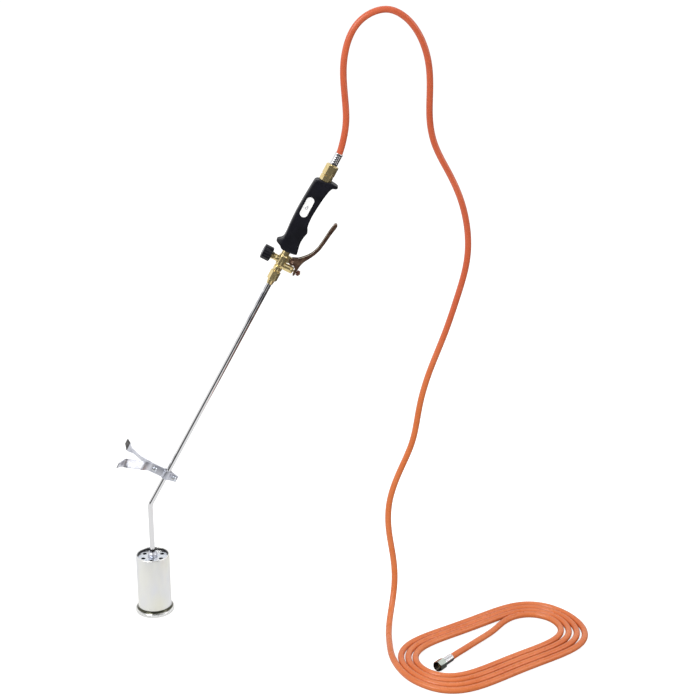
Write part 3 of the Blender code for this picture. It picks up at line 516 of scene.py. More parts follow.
def bronze_coat():
    """The lever's dark brown coat, thin enough to show the pressing's grain."""
    finish = Finish("bronze_coat", (0.11, 0.062, 0.042), 0.65, 0.34)
    patch = finish.span(finish.noise(120, 4), 0.42, 0.68)
    finish.tint(finish.blend(patch, (0.095, 0.05, 0.034), (0.2, 0.125, 0.08)))
    finish.rough(0.26, 0.44, 260, 4)
    finish.grain(0.00004, 0.5, 900, 4)
    return finish


def edge_painted_highlight():
    """A pale metal colour: a painted highlight on the pressing's edges."""
    finish = Finish("edge_painted_highlight", (0.75, 0.68, 0.55), 0.7, 0.36)
    finish.tint(finish.clouds((260, 4), 0.48, 0.7, (0.85, 0.78, 0.64), (0.34, 0.24, 0.16)))
    finish.rough(0.22, 0.4, 300, 3)
    finish.grain(0.00004, 0.5, 900, 4)
    return finish


def copper():
    finish = Finish("copper", (0.86, 0.55, 0.4), 1.0, 0.24)
    finish.tint(finish.clouds((420, 4), 0.4, 0.7, (0.92, 0.66, 0.52), (0.6, 0.32, 0.2)))
    finish.rough(0.18, 0.34, 500, 3)
    finish.grain(0.00002, 0.4, 1200, 2)
    return finish


def red_brown_nut():
    finish = Finish("red_brown_nut", (0.16, 0.055, 0.038), 0.75, 0.32)
    finish.tint(finish.clouds((360, 4), 0.4, 0.7, (0.15, 0.05, 0.035), (0.3, 0.13, 0.09)))
    finish.rough(0.24, 0.42, 400, 3)
    finish.grain(0.00003, 0.4, 1100, 3)
    return finish


def spring_steel():
    finish = Finish("spring_steel", (0.56, 0.56, 0.57), 1.0, 0.28)
    finish.rough(0.2, 0.4, 900, 3)
    finish.grain(0.00001, 0.4, 2400, 2)
    return finish


def black_plastic(name="black_plastic", grain=2600, low=0.34, high=0.48, shine=0.28):
    """Moulded plastic: very dark with a trace of blue, and a fine spark-eroded grain."""
    finish = Finish(name, (0.006, 0.006, 0.009), 0.0, 0.42, Specular_IOR_Level=shine)
    finish.tint(finish.clouds((55, 4), 0.35, 0.7, (0.005, 0.005, 0.008), (0.009, 0.009, 0.015)))
    finish.rough(low, high, 130, 4)
    finish.grain(0.00006, 0.5, grain, 2)
    return finish


def knob_plastic():
    return black_plastic("knob_plastic", 1800, 0.16, 0.28, 0.4)


def white_plate():
    finish = Finish("white_plate", (0.86, 0.86, 0.85), 0.0, 0.3)
    finish.tint(finish.clouds((190, 3), 0.45, 0.75, (0.98, 0.98, 0.97), (0.92, 0.92, 0.92)))
    finish.rough(0.24, 0.38, 400, 3)
    finish.grain(0.00001, 0.4, 1600, 2)
    return finish


def grey_print():
    finish = Finish("grey_print", (0.42, 0.42, 0.44), 0.0, 0.4)
    finish.tint(finish.clouds((600, 3), 0.4, 0.7, (0.38, 0.38, 0.4), (0.55, 0.55, 0.57)))
    finish.rough(0.34, 0.46, 500, 2)
    return finish


def black_rubber():
    finish = Finish("black_rubber", (0.02, 0.02, 0.02), 0.0, 0.75)
    finish.rough(0.65, 0.85, 400, 3)
    finish.grain(0.00003, 0.5, 1800, 3)
    return finish


def hose_rubber():
    """Orange hose rubber: a cloth-wrap imprint, soft blotches and a light dusting."""
    finish = Finish("hose_rubber", (0.66, 0.16, 0.042), 0.0, 0.34)
    blotch = finish.span(finish.noise(14, 4), 0.35, 0.68)
    redder = finish.blend(blotch, (0.58, 0.105, 0.04), (0.64, 0.13, 0.052))
    paler = finish.blend(blotch, (0.66, 0.165, 0.044), (0.72, 0.205, 0.064))
    base = finish.blend(finish.span(finish.height(), 0.42, 0.62), paler, redder)
    fleck = finish.span(finish.noise(420, 5, roughness=0.65), 0.6, 0.78)
    finish.tint(finish.blend(fleck, base, (0.42, 0.08, 0.03)))
    finish.rough(0.22, 0.38, 60, 5)
    wrap = finish.add("TexWave", wave_type="BANDS", bands_direction="DIAGONAL")
    wrap.inputs["Scale"].default_value = 1.0
    wrap.inputs["Distortion"].default_value = 0.6
    finish.link(finish.coordinates((8, 520, 1), "UV"), wrap.inputs["Vector"])
    finish.relief(wrap.outputs["Fac"], 0.00002, 0.35)
    finish.grain(0.00003, 0.3, 900, 4)
    return finish


# Each material made so far, by the function that makes it
MADE = {}


def material(maker):
    """Each material is made once, when it is first asked for."""
    if maker not in MADE:
        MADE[maker] = maker().material
    return MADE[maker]


# Shapes

def add_piece(name, mesh, maker, body, place, replaces=(), crease=32):
    """Put a finished mesh in place, on its body, in place of CAD nodes."""
    mesh.name = name
    mesh.materials.clear()
    mesh.materials.append(material(maker))
    mesh.shade_smooth()
    mesh.set_sharp_from_angle(angle=radians(crease))
    piece = placed(name, mesh)
    piece.matrix_world = place
    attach(piece, body)
    if replaces:
        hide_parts(*replaces)
    return piece


def add_turned(name, profile, rounding, steps, maker, place, node, crease=40, body="torch"):
    """A ring-shaped piece: a closed profile with rounded corners, turned round Z."""
    mesh = revolved(softened(profile, *rounding, closed=True), steps)
    return add_piece(name, mesh, maker, body, place, [node], crease)


def mesh_from(bm):
    bmesh.ops.remove_doubles(bm, verts=bm.verts, dist=1e-6)
    bmesh.ops.dissolve_degenerate(bm, edges=bm.edges, dist=1e-7)
    bmesh.ops.recalc_face_normals(bm, faces=bm.faces)
    mesh = bpy.data.meshes.new("mesh")
    bm.to_mesh(mesh)
    bm.free()
    return mesh


def softened(profile, size, steps=3, closed=False):
    """A profile with its corners rounded off, each by up to size."""
    points = [Vector(p) for p in profile]
    found = []
    count = len(points)
    for i, corner in enumerate(points):
        if not closed and i in (0, count - 1):
            found.append(tuple(corner))
            continue
        before, after = points[i - 1], points[(i + 1) % count]
        back, ahead = before - corner, after - corner
        cut = min(size, 0.45 * back.length, 0.45 * ahead.length)
        turn = back.angle(ahead) if back.length > 1e-9 and ahead.length > 1e-9 else pi
        if turn > radians(172):
            found.append(tuple(corner))
            continue
        start, end = corner + back.normalized() * cut, corner + ahead.normalized() * cut
        for k in range(steps + 1):
            t = k / steps
            found.append(tuple((1 - t) ** 2 * start + 2 * t * (1 - t) * corner + t * t * end))
    return found


def revolved(profile, steps=72, shape=None):
    """A mesh turned round Z; shape(r, z, angle) may change the radius. Off the axis the profile closes."""
    bm = bmesh.new()
    rings = []
    for k in range(steps):
        angle = 2 * pi * k / steps
        ring = []
        for r, z in profile:
            if shape and r > 1e-9:
                r, z = shape(r, z, angle)
            ring.append(bm.verts.new((r * cos(angle), r * sin(angle), z)))
        rings.append(ring)
    length = len(profile)
    spans = length if profile[0][0] > 1e-9 else length - 1
    for k in range(steps):
        one, two = rings[k], rings[(k + 1) % steps]
        for i in range(spans):
            j = (i + 1) % length
            bm.faces.new((one[i], two[i], two[j], one[j]))
    return mesh_from(bm)


def hexagon(flats, angle):
    """The distance from the axis to a hexagon's side."""
    return flats / 2 / cos(angle % (pi / 3) - pi / 6)


def bar_end(flats, share):
    """A bar nut's chamfered end as (radius, depth), from inside the flats out to the corners."""
    edge = flats / 2 * share
    width = hexagon(flats, 0) + 0.0001 - edge
    return [(edge + width * i / 6, width * tan(radians(30)) * i / 6) for i in range(7)]


def nut_mesh(flats, low, high, bore, steps=72):
    """A hexagon nut turned from bar: chamfered corners, a countersunk bore."""
    end = bar_end(flats, 0.985)
    outer = [(r, high - depth) for r, depth in end] + [(r, low + depth) for r, depth in end[::-1]]
    sink = min(0.0006, (end[0][0] - bore) / 2)
    inner = [(bore + sink, low), (bore, low + sink), (bore, high - sink), (bore + sink, high)]
    return revolved(outer + inner, steps, lambda r, z, angle: (min(r, hexagon(flats, angle)), z))


def curve_solid(outlines, half, rounding, resolution=3):
    """Flat outlines of (x, z) points made into a plate of that half thickness, edges rounded."""
    curve = bpy.data.curves.new("outline", "CURVE")
    curve.dimensions = "2D"
    curve.fill_mode = "BOTH"
    curve.extrude = half - rounding
    curve.bevel_depth = rounding
    curve.bevel_resolution = resolution
    curve.offset = -rounding
    for outline in outlines:
        spline = curve.splines.new("POLY")
        spline.points.add(len(outline) - 1)
        for point, (x, z) in zip(spline.points, outline):
            point.co = (x, z, 0, 1)
        spline.use_cyclic_u = True
    holder = placed("outline", curve)
    mesh = evaluated(holder)
    bpy.data.objects.remove(holder)
    bm = bmesh.new()
    bm.from_mesh(mesh)
    bmesh.ops.transform(bm, matrix=Matrix.Rotation(pi / 2, 4, "X"), verts=bm.verts)
    return mesh_from(bm)


def evaluated(holder):
    bpy.context.view_layer.update()
    seen = holder.evaluated_get(bpy.context.evaluated_depsgraph_get())
    return bpy.data.meshes.new_from_object(seen)


def combined(base, others, operation="DIFFERENCE"):
    """The base mesh with others cut from it, joined to it or kept where they meet."""
    holder = placed("base", base)
    tools = [placed("tool", other) for other in others]
    for tool in tools:
        change = holder.modifiers.new("change", "BOOLEAN")
        change.operation = operation
        change.solver = "EXACT"
        change.object = tool
    mesh = evaluated(holder)
    for item in (holder, *tools):
        bpy.data.objects.remove(item)
    return mesh


def melted(mesh, voxel, rounds):
    """A mesh remade of even small faces, with its edges slightly rounded."""
    holder = placed("base", mesh)
    remesh = holder.modifiers.new("remesh", "REMESH")
    remesh.mode = "VOXEL"
    remesh.voxel_size = voxel
    smooth = holder.modifiers.new("smooth", "SMOOTH")
    smooth.factor = 0.5
    smooth.iterations = rounds
    result = evaluated(holder)
    bpy.data.objects.remove(holder)
    return result


def moved(mesh, place):
    mesh.transform(place)
    return mesh


def box_mesh(low, high):
    low, high = Vector(low), Vector(high)
    bm = bmesh.new()
    size = Matrix.Diagonal((*(high - low), 1.0))
    bmesh.ops.create_cube(bm, size=1.0, matrix=Matrix.Translation((low + high) / 2) @ size)
    return mesh_from(bm)


def cross_slot(half, across, along, low, high):
    """Two crossed bars that cut a screw's cross slot."""
    return [box_mesh((-half, -along, low), (half, along, high)),
            box_mesh((-across, -half, low), (across, half, high))]


def rod_mesh(radius, low, high, steps=48, round_off=0.0):
    profile = [(0, high), (radius, high), (radius, low), (0, low)]
    if round_off:
        profile = softened(profile, round_off)
    return revolved(profile, steps)


def arc(centre, radius, start, end, steps):
    angles = [start + (end - start) * i / steps for i in range(steps + 1)]
    return [(centre[0] + radius * cos(a), centre[1] + radius * sin(a)) for a in angles]


def lofted(bm, rings):
    """Skin a row of rings and close its ends; the side faces come back ring by ring."""
    sides = []
    for one, two in zip(rings, rings[1:]):
        ahead = list(zip(one[1:] + one[:1], two[1:] + two[:1]))
        sides.append([bm.faces.new((a, c, d, b)) for a, b, (c, d) in zip(one, two, ahead)])
    bm.faces.new(rings[0][::-1])
    bm.faces.new(rings[-1])
    return sides


def heading(points, i):
    """The direction of a line of points at one of them."""
    return (points[min(i + 1, len(points) - 1)] - points[max(i - 1, 0)]).normalized()


def swept(path, section, uv=False):
    """A section of (x, y) points carried along a path without twisting, with flat end caps."""
    points = [Vector(p) for p in path]
    first = heading(points, 0)
    side = first.cross(Vector((0, 1, 0)) if abs(first.y) < 0.9 else Vector((0, 0, 1))).normalized()
    bm = bmesh.new()
    layer = bm.loops.layers.uv.new("UVMap") if uv else None
    rings = []
    for i, point in enumerate(points):
        ahead = heading(points, i)
        side = (side - side.dot(ahead) * ahead).normalized()
        up = ahead.cross(side)
        rings.append([bm.verts.new(point + x * side + y * up) for x, y in section])
    sides = lofted(bm, rings)
    if uv:
        count = len(section)
        run = np.concatenate([[0], np.cumsum([(b - a).length for a, b in zip(points, points[1:])])])
        for i, band in enumerate(sides):
            for k, face in enumerate(band):
                corners = ((k, run[i]), (k + 1, run[i]), (k + 1, run[i + 1]), (k, run[i + 1]))
                for loop, (u, v) in zip(face.loops, corners):
                    loop[layer].uv = (u / count, v)
    return mesh_from(bm)


def circle(radius, steps):
    return [(radius * cos(2 * pi * k / steps), radius * sin(2 * pi * k / steps)) for k in range(steps)]


def thread_rule(pitch, depth, low, high):
    """A radius rule that cuts a thread between two heights of a turned piece."""
    def wind(r, z, angle):
        if not low <= z <= high:
            return r, z
        phase = ((z - low) / pitch - angle / (2 * pi)) % 1.0
        fade = min(1.0, (z - low) / pitch, (high - z) / pitch)
        return r - (1 - abs(2 * phase - 1)) * depth * fade, z
    return wind


def ladder(radius, low, high, pitch):
    """Profile points close enough together for a thread, from high to low."""
    count = max(2, round((high - low) / pitch * 6))
    return [(radius, high + (low - high) * i / count) for i in range(count + 1)]


# Burner

def build_burner():
    inner = BELL_RADIUS - BELL_WALL
    lip = inner - 0.0012
    bell = [(lip + 0.0006, BELL_TOP), (BELL_RADIUS - 0.001, BELL_TOP), (BELL_RADIUS, BELL_TOP - 0.0012),
            (BELL_RADIUS, 0.0004), (inner, 0.0004), (inner, PLATE_TOP + GAP),
            (lip, PLATE_TOP + 0.001), (lip, BELL_TOP - 0.0008)]
    add_turned("burner_shell", bell, (0.0006, 4), 144, satin_steel, BURNER, "burner_bell")
    low, high = BELL_TOP - 0.0001, BELL_TOP + 0.00002
    inside, outside = lip + 0.0003, BELL_RADIUS - 0.0014
    rim = [(inside, low), (outside, low), (outside, high), (inside, high)]
    add_piece("burner_rim", revolved(softened(rim, 0.00005, 2, True), 144), polished_steel, "torch", BURNER)
    build_mouth_ring()
    build_back_plate(inner)
    boss = [(0.0053, 0.1275), (0.0066, 0.1275), (0.008, 0.1262), (0.0092, 0.1238), (0.0092, PLATE_TOP + GAP),
            (0.008, PLATE_TOP + GAP), (0.008, 0.104), (0.0033, 0.104), (0.0033, NECK_START - GAP),
            (0.0053, NECK_START - GAP)]
    add_turned("neck_boss", boss, (0.0004, 3), 72, strap_zinc, BURNER, "burner_boss")
    nut = nut_mesh(0.022, 0.11, PLATE_TOP - PLATE_THICKNESS - GAP, 0.0083, 96)
    add_piece("neck_boss_nut", nut, zinc, "torch", BURNER, ["boss_nut"])
    build_burner_inside(inner)


def build_mouth_ring():
    start = BELL_RADIUS + GAP
    edge = RING_RADIUS - 0.001
    flare = [(edge - (edge - start) * sin(a), 0.013 - 0.005 * cos(a)) for a in np.linspace(pi / 2, 0, 11)]
    outline = flare + [(RING_RADIUS, 0.007), (RING_RADIUS, 0.002), (RING_RADIUS - 0.0012, 0.0), (start, 0.0)]
    add_turned("mouth_flare", outline, (0.0012, 4), 144, flare_steel, BURNER, "mouth_ring", 50)


def ring_of_holes(count, start, ring, radius, steps):
    """Circles of that many steps, spaced evenly round the axis."""
    angles = [start + 2 * pi * hole / count for hole in range(count)]
    last = 2 * pi * (steps - 1) / steps
    return [arc((ring * cos(a), ring * sin(a)), radius, 0, last, steps - 1) for a in angles]


def laid_disc(outlines, half, rounding, middle):
    """A flat disc, level, with its mid-plane at that height."""
    return moved(curve_solid(outlines, half, rounding, 2), at(0, 0, middle) @ FACING_BACK)


def build_back_plate(inner):
    half = PLATE_THICKNESS / 2
    holes = ring_of_holes(6, pi / 2, AIR_HOLE_CIRCLE, AIR_HOLE_RADIUS, 32)
    disc = laid_disc([circle(inner - GAP, 96), circle(0.0083, 48)] + holes, half, 0.00025, PLATE_TOP - half)
    add_piece("air_plate", disc, zinc, "torch", BURNER, ["bell_back_plate"])


def build_burner_inside(inner):
    half = 0.0005
    holes = ring_of_holes(8, pi / 16, 0.0215, 0.0045, 24)
    disc = laid_disc([circle(inner - GAP, 96), circle(0.0118, 48)] + holes, half, 0.0002, RETAINER_Z + half)
    add_piece("flame_disc", disc, satin_steel, "torch", BURNER, ["flame_retainer"])
    tube = [(0.0105, 0.092), (0.0145, 0.094), (0.0132, 0.088), (0.0125, 0.086), (0.0115, 0.078),
            (0.0115, RETAINER_Z - 0.004), (0.0105, RETAINER_Z - 0.004), (0.0105, 0.078)]
    add_turned("mixing_tube", tube, (0.0004, 3), 72, satin_steel, BURNER, "mixer_tube")
    jet = [(0.0006, 0.11), (0.003, 0.11), (0.003, 0.1037), (0.005, 0.1037), (0.005, 0.099),
           (0.003, 0.096), (0.0006, 0.096)]
    add_turned("jet", jet, (0.0002, 2), 48, brass, BURNER, "gas_jet")


# Lance and stand

def lance_path(start, end):
    """The neck and the lance in the lance frame, from a height above the floor."""
    down = Vector((sin(LEAN), 0, -cos(LEAN)))
    centre = Vector((BEND_RADIUS, 0, BEND_RADIUS * tan(LEAN / 2)))
    first = down * (bend.z - start)
    turn = [centre + BEND_RADIUS * Vector((-cos(a), 0, -sin(a))) for a in np.linspace(LEAN, 0, 21)]
    neck = [first + (turn[0] - first) * k / 6 for k in range(6)]
    last = Vector((0, 0, end))
    return neck + turn + [turn[-1] + (last - turn[-1]) * k / 12 for k in range(1, 13)]


def build_lance():
    end = 0.5365
    outer = swept(lance_path(NECK_START, end), circle(PIPE_RADIUS, 40))
    inner = swept(lance_path(NECK_START - 0.002, end + 0.002), circle(0.0038, 24))
    add_piece("lance_tube", combined(outer, [inner]), lance_chrome, "torch", LANCE, ["lance_pipe"], 50)
    low, high = LANCE_NUT_Z
    collar = [(0.0053, low - GAP), (0.0072, low - GAP), (0.007, low - 0.0016), (0.006, low - 0.009),
              (0.0053, low - 0.009)]
    add_turned("pipe_collar", collar, (0.0003, 3), 64, brass, LANCE, "lance_collar")
    nut = nut_mesh(LANCE_NUT_FLATS, low, high, 0.0054, 96)
    nut = combined(nut, [rod_mesh(0.0074, low + 0.003, high + 0.01)])
    add_piece("pipe_nut", nut, brass, "torch", LANCE, ["lance_union_nut"])


def strap_line(side):
    """One leg's centre line as (across, y), its bends rounded."""
    tab = STAND_SHEET / 2 + STAND_TAB_GAP
    saddle = PIPE_RADIUS + GAP + STAND_SHEET / 2
    line = [(0.0225, tab), (0.0078, tab), (0.0062, saddle * 0.62), (0.003, saddle),
            (-0.003, saddle), (-0.0062, saddle * 0.62), (-0.0078, tab), (-0.0335, tab)]
    start, end = (-0.037, tab + 0.0013), (-0.0845, 0.0358)
    for share in (0, 0.06, 0.12, 0.18, 0.24, 0.3, 0.36, 0.6, 0.85, 0.89, 0.93, 0.97, 1):
        line.append(tuple(a + share * (b - a) for a, b in zip(start, end)))
    line += [(-0.087, 0.0388), (-0.0943, 0.0585)]
    return [Vector((x, side * y)) for x, y in softened(line, 0.0016, 4)]


def strap_twist(x):
    """How far the strap is turned there: upright at the clamp, leaning mid-leg, upright at the foot."""
    leaving, arriving = (-0.037 - x) / 0.0171, (x + 0.087) / 0.0096
    return STAND_TWIST * max(0, min(1, leaving, arriving))


def strap_mesh(side):
    """A strip of sheet along its line, turned about its length past the clamp, edges rounded."""
    line = strap_line(side)
    half, reach = STAND_SHEET / 2, STAND_WIDTH / 2
    run = [0.0]
    for a, b in zip(line, line[1:]):
        run.append(run[-1] + (b - a).length)
    bm = bmesh.new()
    rings = []
    for i, point in enumerate(line):
        ahead = heading(line, i)
        out = Vector((-ahead.y, ahead.x, 0)) * side
        twist = strap_twist(point.x)
        across = cos(twist) * Vector((0, 0, 1)) + sin(twist) * out
        normal = cos(twist) * out - sin(twist) * Vector((0, 0, 1))
        side_reach = reach - end_taper(run[i], run[-1])
        corners = [(-half, -side_reach), (half, -side_reach), (half, side_reach), (-half, side_reach)]
        section = softened(corners, 0.0004, 3, True)
        middle = Vector((point.x, point.y, STAND_Z))
        rings.append([bm.verts.new(middle + n * normal + w * across) for n, w in section])
    lofted(bm, rings)
    return mesh_from(bm)


def end_taper(run, length, radius=0.003):
    """How much narrower the strap is near its ends, so that their corners are round."""
    near = min(run, length - run)
    if near >= radius:
        return 0.0
    return radius - sqrt(max(0.0, radius ** 2 - (radius - near) ** 2))


def build_stand():
    for piece, node, side in (("front_leg", "stand_front_leg", -1), ("rear_leg", "stand_rear_leg", 1)):
        drill = rod_mesh(0.0029, -0.02, 0.02, 32)
        drills = [moved(drill.copy(), at(x, 0, STAND_Z) @ FACING_BACK) for x in STAND_BOLTS]
        mesh = combined(strap_mesh(side), drills)
        add_piece(piece, mesh, strap_zinc, "stand", LANCE, [node])
        # Painted reflection: the rear leg's foot faces are painted dark grey.
        if side > 0:
            mesh.materials.append(material(painted_reflection_foot))
            for face in mesh.polygons:
                face.material_index = int(face.center.x < -0.0872)
    build_clamp_bolts(STAND_SHEET + STAND_TAB_GAP + GAP)


def build_clamp_bolts(outside):
    """Slotted screws through both straps, and their nuts; outside is the straps' outer face."""
    screw = [(0, 0.0098), (0.0023, 0.0098), (0.0025, 0.0095)]
    screw += ladder(0.0025, outside + 0.0003, 0.0094, 0.0008)
    screw += [(0.0025, -outside), (0.005, -outside), (0.0048, -outside - 0.0018),
              (0.0036, -outside - 0.0031), (0, -outside - 0.0035)]
    wind = thread_rule(0.0008, 0.0003, outside + 0.0004, 0.0094)
    for number, x in enumerate(STAND_BOLTS, 1):
        spot = LANCE @ at(x, 0, STAND_Z) @ FACING_BACK
        slot = box_mesh((-0.0005, -0.006, -outside - 0.005), (0.0005, 0.006, -outside - 0.002))
        bolt = combined(revolved(screw, 48, wind), [slot])
        add_piece(f"clamp_bolt_{number}", bolt, zinc, "stand", spot, [f"stand_bolt_{number}"])
        nut = nut_mesh(0.008, outside, outside + 0.004, 0.0028)
        add_piece(f"clamp_nut_{number}", nut, zinc, "stand", spot, [f"stand_nut_{number}"])


# Valve

def build_valve_body():
    core = [(0, 0.59), (0.0073, 0.59), (0.0073, 0.5722), (0.0088, 0.5702), (0.0088, 0.552),
            (0.0066, 0.5495), (0.0083, 0.5482), (0.0083, 0.5412), (0.0071, 0.54), (0.0071, 0.526),
            (0, 0.526)]
    body = revolved(softened(core, 0.0006, 3), 72)
    arm = [(0, 0.017), (0.0058, 0.017), (0.0063, 0.0162), (0.0063, 0.0135), (0.0057, 0.0128), (0.0063, 0.012),
           (0.0063, 0), (0, 0)]
    knob_arm = moved(revolved(softened(arm, 0.0003, 2), 56), ARM)
    port = [(0, 0.0253), (0.0064, 0.0253), (0.007, 0.0247), (0.007, 0.0226), (0.0066, 0.0222),
            (0.007, 0.0218), (0.007, 0), (0, 0)]
    port_arm = moved(revolved(softened(port, 0.0003, 2), 56), PORT)
    x, z = PIVOT
    outline = [(0.004, z - 0.0085)] + arc(PIVOT, 0.005, -pi / 2, pi / 2, 16) + [(0.004, z + 0.007)]
    lug = curve_solid([outline], 0.0029, 0.0004, 2)
    body = combined(body, [knob_arm, port_arm, lug], "UNION")
    gas_way = rod_mesh(0.003, 0.52, 0.6)
    sockets = [rod_mesh(0.0053, 0.52, 0.537), rod_mesh(0.0053, 0.58, 0.6)]
    plunger_bore = moved(rod_mesh(0.0045, 0.001, 0.03), PORT)
    needle_bore = moved(rod_mesh(0.0032, 0, 0.02), ARM)
    packing_bore = moved(rod_mesh(0.0048, 0.011, 0.02), ARM)
    pin_hole = moved(rod_mesh(PIN_RADIUS + GAP, -0.01, 0.01), at(x, 0, z) @ FACING_BACK)
    body = combined(body, [gas_way, *sockets, plunger_bore, needle_bore, packing_bore, pin_hole])
    add_piece("valve", body, brass, "torch", LANCE, ["valve_body"])


def build_knob():
    gland = nut_mesh(0.012, 0.0173, 0.0245, 0.0032)
    add_piece("gland_nut", gland, brass, "torch", KNOB, ["knob_gland_nut"])
    low, high = 0.0215, 0.0397

    def fluted(r, z, angle):
        depth = 0.0014 * max(0.0, cos(10 * angle)) ** 1.5
        share = min(1.0, max(0.0, (r - 0.01) / 0.0035))
        return r - depth * share, z

    outline = softened([(0.0027, 0.0252), (0.0027, 0.0372), (0.0052, 0.0372), (0.0052, high - 0.001),
                        (0.0062, high - 0.0004), (0.0102, high), (KNOB_RADIUS, high - 0.001),
                        (KNOB_RADIUS, low + 0.001), (0.011, low), (0.0085, low), (0.0085, 0.0252)],
                       0.001, 4, True)
    wheel = revolved(outline[::-1], 160, fluted)
    add_piece("hand_wheel", wheel, knob_plastic, "knob", KNOB, ["control_knob"], 45)
    screw = softened([(0, 0.0393), (0.0038, 0.0393), (0.0046, 0.0385), (0.0046, 0.0375), (0.002, 0.0375),
                      (0.002, 0.0348), (0, 0.0348)], 0.0003, 3)
    mesh = combined(revolved(screw, 48), cross_slot(0.0004, 0.003, 0.006, 0.0385, 0.041))
    add_piece("wheel_screw", mesh, zinc, "knob", KNOB, ["knob_screw"])


def build_plunger():
    rod = [(0, 0.042), (0.0016, 0.042), (0.0019, 0.0417)] + ladder(0.0019, 0.03, 0.0416, 0.0007)
    rod += [(0.0019, 0.0066), (0.004, 0.0066), (0.004, 0.0046), (0.0012, 0.0046), (0.0012, 0.0022),
            (0, 0.0022)]
    rod_piece = revolved(rod, 48, thread_rule(0.0007, 0.00025, 0.0302, 0.0414))
    add_piece("plunger_rod", rod_piece, brass, "plunger", PLUNGER, ["plunger"])
    gland = [(0.0022, 0.0268), (0.006, 0.0268), (0.0066, 0.0262), (0.0066, 0.0256), (0.0042, 0.0256),
             (0.0042, 0.02), (0.0022, 0.02)]
    add_turned("port_gland", gland, (0.0002, 2), 56, brass, PLUNGER, "plunger_gland", 32)
    nut = nut_mesh(0.0092, 0.0346, 0.0404, 0.0022)
    add_piece("stop_nut", nut, red_brown_nut, "plunger", PLUNGER, ["pilot_nut"])


def lever_outline():
    """The lever's side view round its pin, as (across, along) from the pin."""
    grip_side = [(0.0062, 0.0106), (0.012, 0.016), (0.0185, 0.0232), (0.0245, 0.0325),
                 (0.0288, 0.045), (0.0306, 0.062), (0.0322, 0.082), (0.0346, 0.0975)]
    tip = [(0.0356, 0.1), (0.0378, 0.1012), (0.0402, 0.1004), (0.0414, 0.098)]
    finger_side = [(0.041, 0.093), (0.0386, 0.079), (0.0368, 0.061), (0.0344, 0.044),
                   (0.0296, 0.0297), (0.0235, 0.0182), (0.0183, 0.009), (0.016, 0.001),
                   (0.015, -0.01)]
    tail = [(0.0146, -0.0215), (0.0128, -0.0232), (0.011, -0.0222), (0.0103, -0.01)]
    hub = arc((0, 0), 0.007, -radians(50), -radians(250), 20)
    return hub + softened(grip_side, 0.004, 5) + tip + softened(finger_side, 0.004, 5) + tail


def paint_lever_highlight(mesh):
    """Paint a highlight on the two side plates' edges along the arm that face the grip."""
    mesh.materials.append(material(edge_painted_highlight))
    for face in mesh.polygons:
        # Painted highlight: edge faces turned towards the grip get the pale colour.
        towards_grip = face.normal.x < -0.55 and abs(face.normal.y) < 0.75
        on_arm = face.center.x > 0.004 and face.center.z > 0.009
        if towards_grip and on_arm and abs(face.center.y) > LEVER_GAP:
            face.material_index = 1


def build_lever():
    plate = curve_solid([lever_outline()], LEVER_HALF, 0.0007, 3)
    channel = [(-0.01, 0.02), (0.018, 0.042), (0.024, 0.094), (0.038, 0.094),
               (0.0364, 0.079), (0.0346, 0.062), (0.0322, 0.045), (0.0276, 0.0315),
               (0.0215, 0.0207), (0.016, 0.011), (0.0138, 0.002), (0.0135, -0.006), (0.02, -0.0065),
               (0.02, -0.03), (-0.01, -0.03)]
    groove = curve_solid([softened(channel, 0.002, 3, True)], LEVER_GAP, 0.0005, 2)
    pin_hole = moved(rod_mesh(PIN_RADIUS + GAP, -0.01, 0.01), FACING_BACK)
    mesh = combined(plate, [groove, pin_hole])
    add_piece("squeeze_lever", mesh, bronze_coat, "lever", LEVER, ["lever"])
    paint_lever_highlight(mesh)
    half = [(0, LEVER_HALF + 0.0016), (0.0022, LEVER_HALF + 0.0014), (0.0028, LEVER_HALF + GAP),
            (PIN_RADIUS, LEVER_HALF + GAP)]
    rivet = softened(half + [(r, -z) for r, z in half[::-1]], 0.0003, 3)
    add_piece("lever_rivet", revolved(rivet, 40), copper, "lever", LEVER @ FACING_BACK, ["lever_pin"])


# Grip

def grip_outline():
    """The grip's side view as (across, along) in the lance frame, anticlockwise."""
    lever_side = [(0.0188, 0.5845), (0.0172, 0.593), (0.015, 0.602), (0.014, 0.61),
                  (0.0148, 0.62), (0.0172, 0.631), (0.0128, 0.637), (0.0108, 0.648),
                  (0.01, 0.662), (0.011, 0.68), (0.0128, 0.7), (0.0155, 0.717),
                  (0.0185, 0.725)]
    upper_guard = [(0.0235, 0.7262)] + arc((0.024, 0.7295), 0.0032, -pi / 2, pi / 2, 8)
    top = [(0.012, 0.7337), (0, 0.7318), (-0.012, 0.7282), (-0.0158, 0.7262)]
    knob_side = [(-0.0174, 0.7225), (-0.0186, 0.7), (-0.0196, 0.678), (-0.02, 0.656),
                 (-0.0192, 0.632), (-0.0176, 0.613), (-0.0178, 0.603), (-0.0205, 0.5985)]
    lower_guard = arc((-0.0232, 0.593), 0.0038, 3 * pi / 4, 3 * pi / 2, 8)
    bottom = [(-0.0172, 0.5868), (-0.0118, 0.5815), (0, 0.5812), (0.012, 0.5826)]
    return softened(bottom + lever_side + upper_guard + top + knob_side + lower_guard, 0.002, 3, True)


def stadium(length, width):
    reach = (length - width) / 2
    return arc((0, reach), width / 2, 0, pi, 16) + arc((0, -reach), width / 2, pi, 2 * pi, 16)


